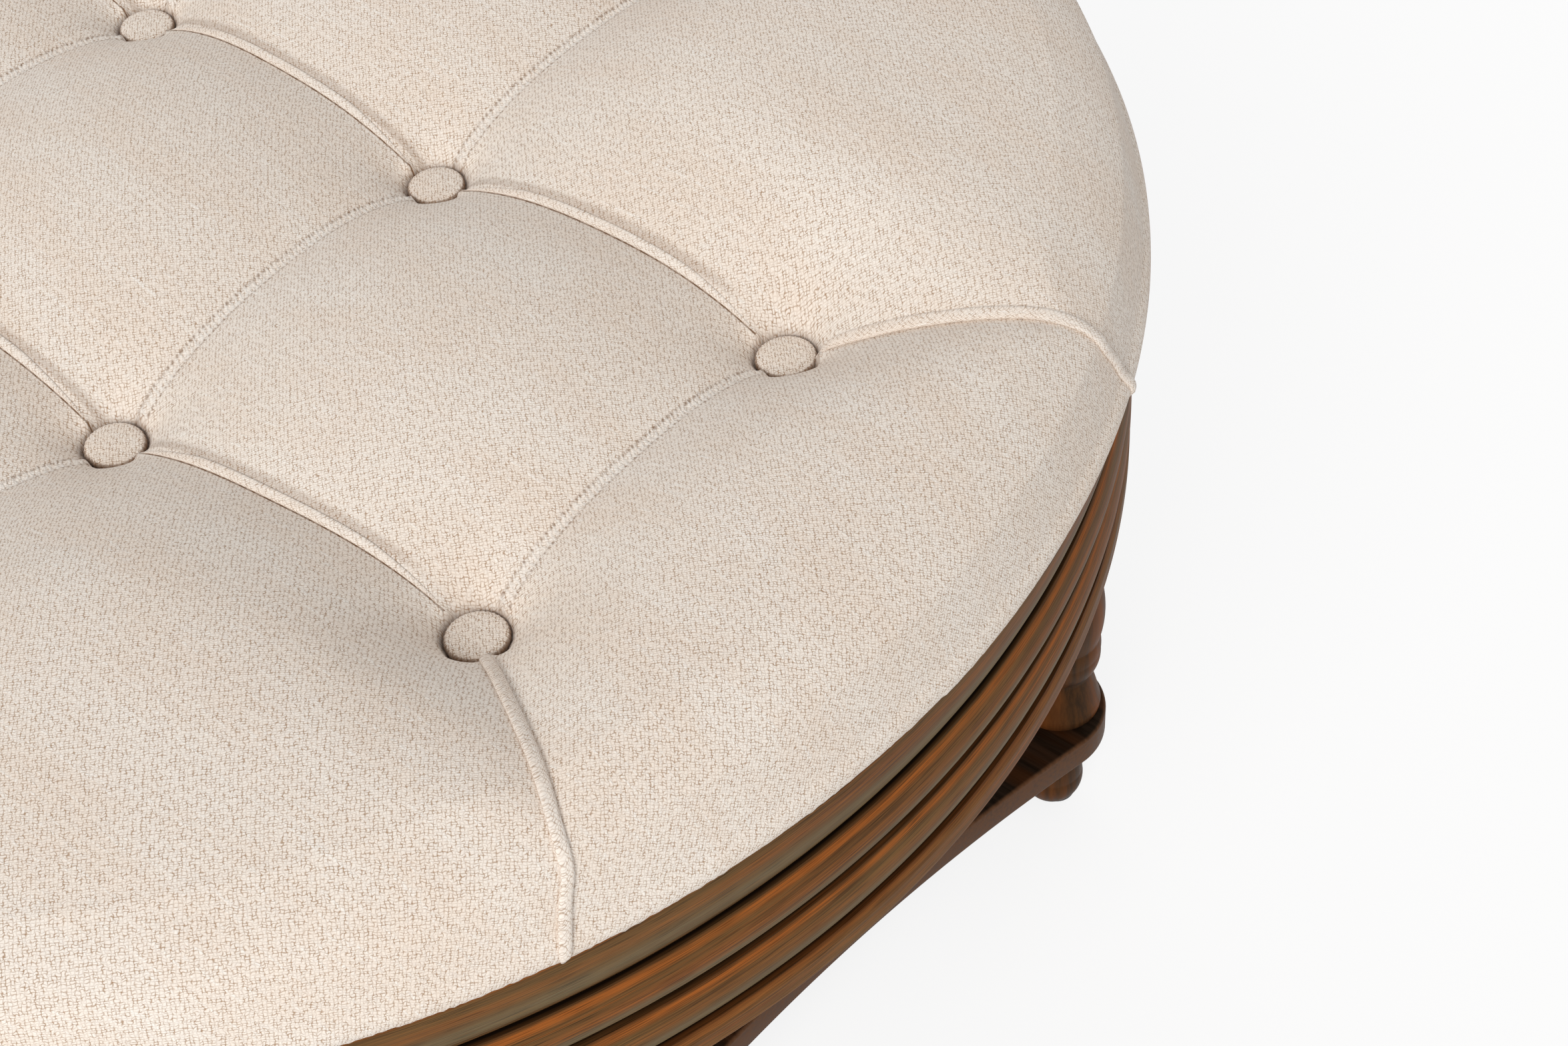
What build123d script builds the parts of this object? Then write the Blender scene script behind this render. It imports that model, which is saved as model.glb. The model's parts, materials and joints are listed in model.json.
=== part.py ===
from build123d import *
import math
import os

# Round tufted ottoman coffee table. Origin on the floor under its axis, millimetres, +Z up.
# Heights of the cushion are counted from the top of the apron.

# Driving dimensions
seat_radius = 431.8
glide_thickness = 2.0
foot_height = 54.0
shelf_thickness = 18.0
leg_length = 274.0
apron_height = 100.0
button_pitch = 190.0

# Counts
leg_count = 4
rail_count = 4

# Clearances
soft_clearance = 0.3
thread_clearance = 0.1
cut_overrun = 5.0

# Apron: three reeds over a fillet, from the top down. Each reed swells from its top arris to its crest and
# falls back to its lower edge; a narrow quirk parts it from the ledge of the next. Draws are counted inwards
# from the apron's outer radius.
apron_setback = 5.3
rail_thickness = 41.0
reed_heights = (36.0, 26.0, 24.4)
reed_crest_shares = (0.4, 0.35, 0.35)
arris_draws = (1.5, 3.9, 2.9, 1.8)
reed_edge_draws = (6.0, 6.2, 4.5)
quirk_width = 0.9
quirk_depth = 3.0
fillet_arris_height = 3.5
fillet_round = 2.0
rebate_wall = 14.0
rebate_depth = 11.0
rail_dowel_radius = 5.0
rail_dowel_length = 60.0
rail_dowel_height_shares = (0.25, 0.68)

# Corner blocks and their screws
block_width = 120.0
block_depth = 45.0
block_height = 45.0
block_chamfer = 18.0
screw_radius = 2.25
screw_head_radius = 4.5
screw_head_height = 3.0
block_screw_spacing = 76.0
block_screw_length = 60.0
deck_screw_spacing = 44.0
deck_screw_inset = 15.0
deck_screw_grip = 12.0

# Seat deck, hem and dust cover
deck_thickness = 15.0
hem_thickness = 1.4
hem_width = 37.0
dust_cover_thickness = 0.8

# Turned leg: stations from the shelf upwards as shares of its length, radii in millimetres
leg_hole_depth = 60.0
leg_bolt_radius = 4.0
leg_bolt_grip = 45.0
insert_radius = 6.0
insert_length = 20.0
bell_radius = 23.2
neck_radius = 18.3
ring_radius = 22.0
bead_radius = 23.0
vase_radius = 23.0
vase_neck_radius = 15.0
collar_radius = 24.0
bell_top_share = 0.073
neck_top_share = 0.113
ring_top_share = 0.195
bead_top_share = 0.345
cove_top_share = 0.375
vase_belly_share = 0.52
vase_top_share = 0.86
astragal_top_share = 0.90
collar_base_share = 0.935
bell_swell_share = 0.13
bell_shoulder_share = 0.3
bell_flank_share = 0.68
bell_base_draw = 1.0
bell_shoulder_draw = 0.5
bell_flank_draw = 2.1
collar_hollow_share = 0.7
leg_groove_depth = 1.4

# Bun foot
foot_radius = 15.8
foot_floor_radius = 13.5
foot_neck_radius = 11.0
foot_collar_radius = 15.0
foot_collar_height = 6.0
foot_belly_share = 0.28
foot_neck_share = 0.78
foot_cove_share = 0.25
foot_collar_round = 1.8
foot_screw_grip = 34.0
glide_radius = 10.0

# Lower shelf: a square with hollow sides, its corners rounded just inside the leg axes
shelf_corner_radius = 28.5
shelf_corner_inset = 2.3
shelf_side_hollow = 32.0
shelf_edge_round = 2.0

# Cushion
seat_foot_draw = 1.8
side_bulge_height = 6.5
side_top_height = 19.0
side_top_draw = 3.2
shoulder_height = 40.5
shoulder_draw = 16.3
crown_edge_height = 53.0
crown_edge_draw = 37.5
crown_mid_height = 57.5
crown_mid_draw = 70.0
crown_height = 64.0
button_seat_height = 10.5
seam_crest_height = 34.5
panel_crest_height = 54.0
rim_crest_height = 57.5
pleat_crest_height = 52.0
puff_overlap = 14.0
puff_depth = 90.0
pleat_end_angle = 22.5
pleat_rise_share = 0.62
rim_rise_length = 90.0
rim_station_shares = (-0.18, 0, 0.3, 0.7, 1.3)
corner_inner_shares = (-0.1, 0.12, 0.5, 1)
corner_outer_shares = (0.35, 0.7, 1.3)

# Foam core, with a hole at each button
foam_thickness = 17.0
foam_edge_margin = 30.0
foam_hole_radius = 47.0

# Buttons and what ties them
button_radius = 12.5
button_height = 8.0
button_edge_height = 3.0
button_base_radius = 10.5
twine_radius = 1.0
twine_hole_radius = 2.0
washer_radius = 10.0
washer_thickness = 1.2
washer_recess = 2.0
knot_radius = 3.0

# Levels and radii that follow from the stack
foot_base = glide_thickness
shelf_base = foot_base + foot_height
shelf_top = shelf_base + shelf_thickness
apron_base = shelf_top + leg_length
apron_top = apron_base + apron_height
ledge_level = apron_top - rebate_depth
hem_gap = hem_thickness + 2 * soft_clearance
deck_base = ledge_level + hem_gap
deck_top = deck_base + deck_thickness
foam_base = deck_top + soft_clearance
foam_top = foam_base + foam_thickness
button_base = apron_top + button_seat_height
apron_radius = seat_radius - apron_setback
leg_axis_radius = apron_radius - rail_thickness / 2
rail_inner_radius = apron_radius - rail_thickness
rebate_radius = apron_radius - rebate_wall
deck_radius = rebate_radius - hem_gap
hem_inner_radius = deck_radius - hem_width
foam_radius = deck_radius - foam_edge_margin
block_inner_radius = rail_inner_radius - block_depth
deck_screw_radius = block_inner_radius + deck_screw_inset
washer_base = deck_base + washer_recess - washer_thickness

half_pitch = button_pitch / 2
leg_angles = [360 / leg_count * (k + 0.5) for k in range(leg_count)]
joint_angles = [360 / rail_count * k for k in range(rail_count)]
button_steps = (-3, -1, 1, 3)
button_places = []
for across in button_steps:
    for along in button_steps:
        if not abs(across) == abs(along) == button_steps[-1]:
            button_places.append((across * half_pitch, along * half_pitch))


def rod(radius, bottom, top, x=0, y=0):
    """An upright cylinder between two heights."""
    return Pos(x, y, bottom) * Cylinder(radius, top - bottom, align=(Align.CENTER, Align.CENTER, Align.MIN))


def turn(points_and_arcs):
    """Revolve a closed chain of edges in the XZ plane about Z."""
    profile = make_face(Wire(points_and_arcs))
    return revolve(profile, Axis.Z, 360)


def chain(start, *steps):
    """Edges from point to point: a pair is the end of a line, two pairs the middle and end of an arc."""
    edges = []
    here = start
    for step in steps:
        if isinstance(step[0], tuple):
            middle, end = step
            edges.append(Edge.make_three_point_arc(flat(here), flat(middle), flat(end)))
        else:
            end = step
            edges.append(Edge.make_line(flat(here), flat(end)))
        here = end
    return edges


def flat(point):
    """A radius and a height as a point of the XZ plane."""
    return Vector(point[0], 0, point[1])


def around(shape, angle):
    """Turn a shape about the table's axis."""
    return Rot(0, 0, angle) * shape


def apron_profile():
    """The moulded section of the apron, from the rebate round the face to the inner wall."""
    top_radius = apron_radius - arris_draws[0]
    level = apron_top
    steps = []
    reeds = zip(reed_heights, reed_crest_shares, reed_edge_draws, arris_draws[1:])
    for height, crest_share, edge_draw, next_arris_draw in reeds:
        crest = (apron_radius, level - height * crest_share)
        edge_radius = apron_radius - edge_draw
        level -= height
        steps.append((crest, (edge_radius, level + quirk_width)))
        steps.append((edge_radius - quirk_depth, level + quirk_width))
        steps.append((edge_radius - quirk_depth, level))
        steps.append((apron_radius - next_arris_draw, level))
    steps.append((apron_radius, level - fillet_arris_height))
    steps.append((apron_radius, apron_base + fillet_round))
    corner = fillet_round * (1 - math.sqrt(0.5))
    steps.append(((apron_radius - corner, apron_base + corner), (apron_radius - fillet_round, apron_base)))
    steps.append((rail_inner_radius, apron_base))
    steps.append((rail_inner_radius, ledge_level))
    steps.append((rebate_radius, ledge_level))
    steps.append((rebate_radius, apron_top))
    steps.append((top_radius, apron_top))
    return make_face(Wire(chain((top_radius, apron_top), *steps)))


def screw(length):
    """A flat-headed wood screw standing on its head."""
    return turn(chain(
        (0, 0), (screw_head_radius, 0), (screw_radius, screw_head_height),
        (screw_radius, length), (0, length), (0, 0)))


def rail_dowels():
    """Two dowels across each end joint of the rails."""
    radius = (rail_inner_radius + apron_radius - max(reed_edge_draws) - quirk_depth) / 2
    dowels = []
    for angle in joint_angles:
        for share in rail_dowel_height_shares:
            dowel = Pos(radius, 0, apron_base + apron_height * share) * Rot(90, 0, 0) * Cylinder(
                rail_dowel_radius, rail_dowel_length)
            dowels.append(around(dowel, angle))
    return dowels


def block_screw_places():
    """Across-the-block offsets of a pair of screws in a corner block."""
    return (-block_screw_spacing / 2, block_screw_spacing / 2)


def corner_block():
    """A block glued behind the rail, its inner corners cut away, drilled for its screws."""
    outline = Polyline(
        (block_inner_radius, -block_width / 2 + block_chamfer),
        (block_inner_radius + block_chamfer, -block_width / 2),
        (rail_inner_radius, -block_width / 2),
        (rail_inner_radius, block_width / 2),
        (block_inner_radius + block_chamfer, block_width / 2),
        (block_inner_radius, block_width / 2 - block_chamfer),
        close=True)
    base = ledge_level - block_height
    block = Pos(0, 0, base) * extrude(make_face(outline), block_height)
    block = block & rod(rail_inner_radius, base - cut_overrun, ledge_level + cut_overrun)
    for tool in block_screws() + deck_screws():
        block -= tool
    return block


def block_screws():
    """Screws from the block's inner face out into the rail."""
    height = ledge_level - block_height / 2
    screws = []
    for offset in block_screw_places():
        screws.append(Pos(block_inner_radius, offset, height) * Rot(0, 90, 0) * screw(block_screw_length))
    return screws


def deck_screws():
    """Screws up through the block into the deck."""
    base = ledge_level - block_height
    length = block_height + hem_gap + deck_screw_grip
    screws = []
    for offset in (-deck_screw_spacing / 2, deck_screw_spacing / 2):
        screws.append(Pos(deck_screw_radius, offset, base) * screw(length))
    return screws


def leg_bolt():
    """The hanger bolt from the leg's top into the insert in the apron."""
    return rod(leg_bolt_radius, apron_base - leg_hole_depth, apron_base + leg_bolt_grip, leg_axis_radius)


def leg_insert():
    """The threaded sleeve in the apron that takes the hanger bolt."""
    sleeve = rod(insert_radius, apron_base, apron_base + insert_length, leg_axis_radius)
    return sleeve - rod(leg_bolt_radius + thread_clearance, apron_base - cut_overrun,
                        apron_base + insert_length + cut_overrun, leg_axis_radius)


def foot_screw():
    """The double-ended screw through the shelf, into the leg above and the foot below."""
    return rod(leg_bolt_radius, shelf_base - foot_screw_grip, shelf_top + foot_screw_grip, leg_axis_radius)


def leg():
    """The turned leg: bell, neck, ring, bead, cove, vase and collar, from the shelf up."""
    def at(share):
        return shelf_top + leg_length * share

    def between(low, high, part=0.5):
        return low + (high - low) * part

    groove = leg_groove_depth
    body = turn(chain(
        (0, shelf_top),
        (bell_radius - bell_base_draw, shelf_top),
        ((bell_radius, at(bell_top_share * bell_swell_share)),
         (bell_radius - bell_shoulder_draw, at(bell_top_share * bell_shoulder_share))),
        ((bell_radius - bell_flank_draw, at(bell_top_share * bell_flank_share)),
         (neck_radius, at(bell_top_share))),
        (neck_radius, at(neck_top_share)),
        (ring_radius - groove, at(neck_top_share)),
        ((ring_radius, at(between(neck_top_share, ring_top_share))),
         (ring_radius - groove, at(ring_top_share))),
        ((bead_radius, at(between(ring_top_share, bead_top_share))),
         (bead_radius - 2 * groove, at(bead_top_share))),
        (neck_radius - groove, at(bead_top_share)),
        ((neck_radius - 2 * groove, at(between(bead_top_share, cove_top_share))),
         (neck_radius, at(cove_top_share))),
        ((vase_radius, at(vase_belly_share)), (vase_neck_radius, at(vase_top_share))),
        (ring_radius - groove, at(vase_top_share)),
        ((ring_radius, at(between(vase_top_share, astragal_top_share))),
         (ring_radius - groove, at(astragal_top_share))),
        (neck_radius, at(astragal_top_share)),
        ((neck_radius + groove, at(between(astragal_top_share, collar_base_share, collar_hollow_share))),
         (collar_radius, at(collar_base_share))),
        (collar_radius, apron_base),
        (0, apron_base),
        (0, shelf_top)))
    body = Pos(leg_axis_radius, 0, 0) * body
    return body - leg_bolt() - foot_screw()


def bun_foot():
    """The bun foot: ball, neck and collar under the shelf, bored for its screw."""
    def at(share):
        return foot_base + foot_height * share

    collar_base = shelf_base - foot_collar_height
    collar_edge = foot_collar_radius - foot_collar_round
    cove_radius = foot_neck_radius + (collar_edge - foot_neck_radius) * foot_cove_share
    body = turn(chain(
        (0, foot_base),
        (foot_floor_radius, foot_base),
        ((foot_radius, at(foot_belly_share)), (foot_neck_radius, at(foot_neck_share))),
        ((cove_radius, (at(foot_neck_share) + collar_base) / 2), (collar_edge, collar_base)),
        ((foot_collar_radius, collar_base + foot_collar_height / 2), (collar_edge, shelf_base)),
        (0, shelf_base),
        (0, foot_base)))
    return Pos(leg_axis_radius, 0, 0) * body - foot_screw()


def lower_shelf():
    """A square board with hollow sides, tangent to its round corners."""
    corner_radius = leg_axis_radius - shelf_corner_inset
    corner = corner_radius * math.sqrt(0.5)
    shelf_side_centre = corner + (corner ** 2 - shelf_side_hollow ** 2) / (2 * shelf_side_hollow)
    reach = math.hypot(shelf_side_centre - corner, corner)
    side_radius = reach - shelf_corner_radius
    touch_x = shelf_side_centre - side_radius * (shelf_side_centre - corner) / reach
    touch_y = side_radius * corner / reach
    waist = shelf_side_centre - side_radius
    far = (corner_radius + shelf_corner_radius) * math.sqrt(0.5)
    edges = []
    for quarter in range(leg_count):
        spin = Rot(0, 0, 360 / leg_count * quarter)
        side = Edge.make_three_point_arc((touch_x, -touch_y, 0), (waist, 0, 0), (touch_x, touch_y, 0))
        round_end = Edge.make_three_point_arc((touch_x, touch_y, 0), (far, far, 0), (touch_y, touch_x, 0))
        edges += [spin * side, spin * round_end]
    board = Pos(0, 0, shelf_base) * extrude(make_face(Wire(edges)), shelf_thickness)
    board = fillet(board.edges().group_by(Axis.Z)[-1] + board.edges().group_by(Axis.Z)[0], shelf_edge_round)
    for angle in leg_angles:
        board -= around(foot_screw(), angle)
    return board


def arch(x, half_width, edge_level, crest_level, extra, base):
    """A closed section across a puff: flat base, straight sides and an arc over the crest."""
    rise = crest_level - edge_level
    radius = (half_width ** 2 + rise ** 2) / (2 * rise)
    half = half_width + extra
    side = crest_level - radius + math.sqrt(radius ** 2 - half ** 2)
    corners = [(x, -half, base), (x, half, base), (x, half, side), (x, -half, side)]
    edges = [
        Edge.make_line(corners[0], corners[1]),
        Edge.make_line(corners[1], corners[2]),
        Edge.make_three_point_arc(corners[2], (x, 0, crest_level), corners[3]),
        Edge.make_line(corners[3], corners[0])]
    return Wire(edges)


def puff(stations, base):
    """A loft through arches; each station is its place, half width, edge height and crest height."""
    wires = []
    for place, half_width, edge_height, crest_height in stations:
        edge_level = apron_top + edge_height
        crest_level = apron_top + crest_height
        wires.append(arch(place, half_width, edge_level, crest_level, puff_overlap, base))
    return Solid.make_loft(wires)


def square_puff(base):
    """The puff between four buttons, its top a parabola one way and an arc the other."""
    reach = half_pitch + puff_overlap
    stations = []
    for place in (-reach, 0, reach):
        share = (place / half_pitch) ** 2
        crest = panel_crest_height - (panel_crest_height - seam_crest_height) * share
        edge = seam_crest_height - (seam_crest_height - button_seat_height) * share
        stations.append((place, half_pitch, edge, crest))
    return puff(stations, base)


def pleat_height(share):
    """Height of a pleat between its button and the rim, level once it has risen."""
    left = max(0, 1 - share / pleat_rise_share)
    return pleat_crest_height - (pleat_crest_height - button_seat_height) * left ** 2


def rim_puff(base):
    """The puff between the rim, one seam and the two pleats that run out from its buttons."""
    start = button_steps[-1] * half_pitch
    end = seat_radius * math.cos(math.radians(pleat_end_angle))
    end_half = seat_radius * math.sin(math.radians(pleat_end_angle))
    stations = []
    for share in rim_station_shares:
        place = start + (end - start) * share
        half = half_pitch + (end_half - half_pitch) * share
        left = max(0, 1 - (place - start) / rim_rise_length)
        crest = rim_crest_height - (rim_crest_height - seam_crest_height) * left ** 2
        stations.append((place, half, pleat_height(share), crest))
    return puff(stations, base)


def corner_puff(base):
    """The large puff that spans the missing corner button, lofted out along its diagonal."""
    start = half_pitch * math.sqrt(2)
    middle = 2 * start
    half_middle = start
    angle = math.radians(45 - pleat_end_angle)
    end = seat_radius * math.cos(angle)
    end_half = seat_radius * math.sin(angle)
    stations = []
    for share in corner_inner_shares:
        place = start + (middle - start) * share
        half = max(half_middle * share, puff_overlap)
        seam = seam_crest_height - (seam_crest_height - button_seat_height) * (2 * share - 1) ** 2
        left = 1 - share
        crest = rim_crest_height - (rim_crest_height - button_seat_height) * left ** 2
        edge = min(seam, crest - half ** 2 / (4 * half_pitch))
        stations.append((place, half, edge, crest))
    for share in corner_outer_shares:
        place = middle + (end - middle) * share
        half = half_middle + (end_half - half_middle) * share
        stations.append((place, half, pleat_height(share), rim_crest_height))
    return puff(stations, base)


def seat_envelope():
    """The cushion's outer form: sides drawn in at the foot, rounded shoulder and low crown."""
    radius = seat_radius
    base = apron_top + soft_clearance

    def at(draw, height):
        return (radius - draw, apron_top + height)

    return turn(chain(
        (0, base),
        (radius - seat_foot_draw, base),
        ((radius, apron_top + side_bulge_height), at(side_top_draw, side_top_height)),
        (at(shoulder_draw, shoulder_height), at(crown_edge_draw, crown_edge_height)),
        (at(crown_mid_draw, crown_mid_height), (0, apron_top + crown_height)),
        (0, base)))


def tufted_cushion():
    """Cover and wadding as one body: thirteen puffs under the outer form, hollow for the foam and deck."""
    base = apron_top - puff_depth
    tools = []
    square = square_puff(base)
    for across, along in ((0, 0), (1, 0), (-1, 0), (0, 1), (0, -1)):
        tools.append(Pos(across * button_pitch, along * button_pitch, 0) * square)
    rim = rim_puff(base)
    corner = corner_puff(base)
    for angle in joint_angles:
        tools.append(around(rim, angle))
    for angle in leg_angles:
        tools.append(around(corner, angle))
    body = tools[0].fuse(*tools[1:])
    body = body & seat_envelope()
    body -= rod(deck_radius + soft_clearance, apron_top - cut_overrun, foam_base)
    crown_level = apron_top + crown_height
    foam_room = rod(foam_radius + soft_clearance, foam_base - cut_overrun, foam_top + soft_clearance)
    post_radius = foam_hole_radius - soft_clearance
    for x, y in button_places:
        foam_room -= rod(post_radius, foam_base - 2 * cut_overrun, foam_top + cut_overrun, x, y)
    body -= foam_room
    for x, y in button_places:
        body -= rod(twine_hole_radius, apron_top - cut_overrun, crown_level, x, y)
        body -= rod(button_radius + soft_clearance, button_base - soft_clearance, crown_level, x, y)
    return body


def seat_deck():
    """The plywood disc that carries the cushion, holed for the twines, recessed for their washers."""
    deck = rod(deck_radius, deck_base, deck_top)
    for x, y in button_places:
        deck -= rod(twine_hole_radius, deck_base - cut_overrun, deck_top + cut_overrun, x, y)
        deck -= rod(washer_radius + soft_clearance, deck_base - cut_overrun, deck_base + washer_recess, x, y)
    for angle in leg_angles:
        for tool in deck_screws():
            deck -= around(tool, angle)
    return deck


def cover_hem():
    """The edge of the cover, turned down round the deck and in under it."""
    outer = deck_radius + soft_clearance + hem_thickness
    low = ledge_level + soft_clearance
    return turn(chain(
        (hem_inner_radius, low),
        (outer, low),
        (outer, apron_top),
        (outer - hem_thickness, apron_top),
        (outer - hem_thickness, low + hem_thickness),
        (hem_inner_radius, low + hem_thickness),
        (hem_inner_radius, low)))


def dust_cover():
    """The thin cloth stapled under the deck inside the hem, slit at the deck screws."""
    top = deck_base - soft_clearance
    cloth = rod(hem_inner_radius - soft_clearance, top - dust_cover_thickness, top)
    for angle in leg_angles:
        for tool in deck_screw_slits():
            cloth -= around(tool, angle)
    return cloth


def deck_screw_slits():
    """Round openings about the deck screws."""
    slit_radius = screw_radius + soft_clearance
    slits = []
    for offset in (-deck_screw_spacing / 2, deck_screw_spacing / 2):
        slits.append(rod(slit_radius, ledge_level - cut_overrun, deck_base, deck_screw_radius, offset))
    return slits


def foam_core():
    """The foam slab on the deck, with a round hole at every button."""
    slab = rod(foam_radius, foam_base, foam_top)
    for x, y in button_places:
        slab -= rod(foam_hole_radius, foam_base - cut_overrun, foam_top + cut_overrun, x, y)
    return slab


def tuft_button():
    """A covered button: domed top, rounded edge and a narrower base."""
    edge = button_base + button_edge_height
    top = button_base + button_height
    dome = button_height - button_edge_height
    dome_radius = (button_radius ** 2 + dome ** 2) / (2 * dome)
    middle = button_radius / 2
    middle_level = top - dome_radius + math.sqrt(dome_radius ** 2 - middle ** 2)
    return turn(chain(
        (0, button_base),
        (button_base_radius, button_base),
        (button_radius, edge),
        ((middle, middle_level), (0, top)),
        (0, button_base)))


def twine():
    """The tufting twine, from the button down through cushion, deck and washer to its knot."""
    return rod(twine_radius, washer_base, button_base) + rod(knot_radius, deck_base, washer_base)


def twine_washer():
    """The washer that the twine's knot bears on, in its recess under the deck."""
    hole = rod(twine_radius + thread_clearance, washer_base - cut_overrun, deck_top)
    return rod(washer_radius, washer_base, deck_base + washer_recess) - hole


def apron_rail(index):
    """One quarter of the moulded apron, bored for its dowels, its leg's insert and its block's screws."""
    span = 360 / rail_count
    rail = around(revolve(apron_profile(), Axis.Z, span), joint_angles[index])
    for dowel in rail_dowels():
        rail -= dowel
    angle = leg_angles[index]
    insert_bore = rod(insert_radius, apron_base - cut_overrun, apron_base + insert_length, leg_axis_radius)
    rail -= around(insert_bore, angle)
    rail -= around(leg_bolt(), angle)
    for tool in block_screws():
        rail -= around(tool, angle)
    return rail


def glide():
    """A nail-on glide under a foot."""
    return rod(glide_radius, 0, foot_base, leg_axis_radius)


def save(name, shapes):
    """Write one node, a single piece or a set of like pieces."""
    shape = shapes if not isinstance(shapes, list) else Compound(children=shapes)
    export_step(shape, f"parts/{name}.step")


os.makedirs("parts", exist_ok=True)

for number, angle in enumerate(leg_angles, 1):
    save(f"leg_{number}", around(leg(), angle))
    save(f"bun_foot_{number}", around(bun_foot(), angle))
    save(f"corner_block_{number}", around(corner_block(), angle))
for number in range(rail_count):
    save(f"apron_rail_{number + 1}", apron_rail(number))
save("lower_shelf", lower_shelf())
save("seat_deck", seat_deck())
save("cover_hem", cover_hem())
save("dust_cover", dust_cover())
save("foam_core", foam_core())
save("tufted_cushion", tufted_cushion())
for number, (x, y) in enumerate(button_places, 1):
    save(f"tuft_button_{number}", Pos(x, y, 0) * tuft_button())
save("tufting_twines", [Pos(x, y, 0) * twine() for x, y in button_places])
save("twine_washers", [Pos(x, y, 0) * twine_washer() for x, y in button_places])
save("leg_hanger_bolts", [around(leg_bolt(), angle) for angle in leg_angles])
save("leg_inserts", [around(leg_insert(), angle) for angle in leg_angles])
save("foot_dowel_screws", [around(foot_screw(), angle) for angle in leg_angles])
save("foot_glides", [around(glide(), angle) for angle in leg_angles])
save("apron_dowels", rail_dowels())
save("block_screws", [around(one, angle) for angle in leg_angles for one in block_screws()])
save("deck_screws", [around(one, angle) for angle in leg_angles for one in deck_screws()])
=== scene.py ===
import json
import math

import bpy
import numpy as np
from mathutils import Matrix, Vector


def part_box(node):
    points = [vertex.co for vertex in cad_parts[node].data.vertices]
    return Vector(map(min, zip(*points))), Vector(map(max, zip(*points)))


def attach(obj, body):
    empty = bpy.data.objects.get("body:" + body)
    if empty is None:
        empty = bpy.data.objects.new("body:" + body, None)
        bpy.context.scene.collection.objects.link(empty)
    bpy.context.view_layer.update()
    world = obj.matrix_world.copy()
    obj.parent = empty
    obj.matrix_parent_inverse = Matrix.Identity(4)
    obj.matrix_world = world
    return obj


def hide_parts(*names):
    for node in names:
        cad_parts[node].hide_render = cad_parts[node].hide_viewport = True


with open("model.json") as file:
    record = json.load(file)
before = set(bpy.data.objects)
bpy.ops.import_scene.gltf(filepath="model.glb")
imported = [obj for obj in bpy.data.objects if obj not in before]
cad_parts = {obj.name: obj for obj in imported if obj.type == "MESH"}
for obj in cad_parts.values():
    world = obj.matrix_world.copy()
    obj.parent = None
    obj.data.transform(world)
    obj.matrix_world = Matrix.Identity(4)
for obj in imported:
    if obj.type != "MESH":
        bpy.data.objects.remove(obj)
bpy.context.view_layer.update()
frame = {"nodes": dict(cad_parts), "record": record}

mm = 0.001
tau = 2 * math.pi


# Levels and radii of the table, in millimetres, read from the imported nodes
def nodeBox(name):
    low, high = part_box(name)
    return np.array(low) / mm, np.array(high) / mm


apronLow, apronHigh = nodeBox("apron_rail_1")
cushionLow, cushionHigh = nodeBox("tufted_cushion")
shelfLow, shelfHigh = nodeBox("lower_shelf")
legLow, legHigh = nodeBox("leg_1")
footLow, _ = nodeBox("bun_foot_1")
buttonLow, buttonHigh = nodeBox("tuft_button_1")
_, deckHigh = nodeBox("seat_deck")
foamLow, foamHigh = nodeBox("foam_core")
table = {
    "seatRadius": cushionHigh[0],
    "apronTop": apronHigh[2],
    "apronBase": apronLow[2],
    "cushionBase": cushionLow[2],
    "buttonBase": buttonLow[2],
    "buttonRadius": (buttonHigh[0] - buttonLow[0]) / 2,
    "shelfBase": shelfLow[2],
    "shelfTop": shelfHigh[2],
    "footBase": footLow[2],
    "legAxisRadius": math.hypot(*((legLow + legHigh)[:2] / 2)),
    "buttonPitch": 190.0,
    "clearance": 0.3,
}
seatRadius = table["seatRadius"]
apronTop = table["apronTop"]
half = table["buttonPitch"] / 2
legAngles = [45, 135, 225, 315]
jointAngles = [0, 90, 180, 270]
buttonPlaces = [(a * half, b * half) for a in (-3, -1, 1, 3) for b in (-3, -1, 1, 3) if abs(a) + abs(b) < 6]
print("frame read: seat radius", round(seatRadius, 1), "apron top", round(apronTop, 1))


# Share of the way from low to high, held between 0 and 1
def rise(value, low, high):
    return np.clip((value - low) / (high - low), 0, 1)


# Unit vectors in plan at each angle
def ray(angle):
    return np.stack([np.cos(angle), np.sin(angle)], -1)


# Puts a mesh, a light or a camera into the scene as an object
def addObject(name, data):
    made = bpy.data.objects.new(name, data)
    bpy.context.scene.collection.objects.link(made)
    return made


# Quads over a grid of rows by columns, the last column joined to the first
def gridFaces(rows, columns):
    row, column = np.meshgrid(np.arange(rows - 1), np.arange(columns), indexing="ij")
    here = row * columns + column
    beside = row * columns + (column + 1) % columns
    return np.stack([here, beside, beside + columns, here + columns], -1).reshape(-1, 4)


# Triangles from one point to a ring of the grid, facing the way that the flag says
def fanFaces(tip, first, count, upwards):
    ring = np.arange(count)
    here, after = first + ring, first + (ring + 1) % count
    corners = [here, after] if upwards else [after, here]
    return np.stack([np.full(count, tip)] + corners, -1)


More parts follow.
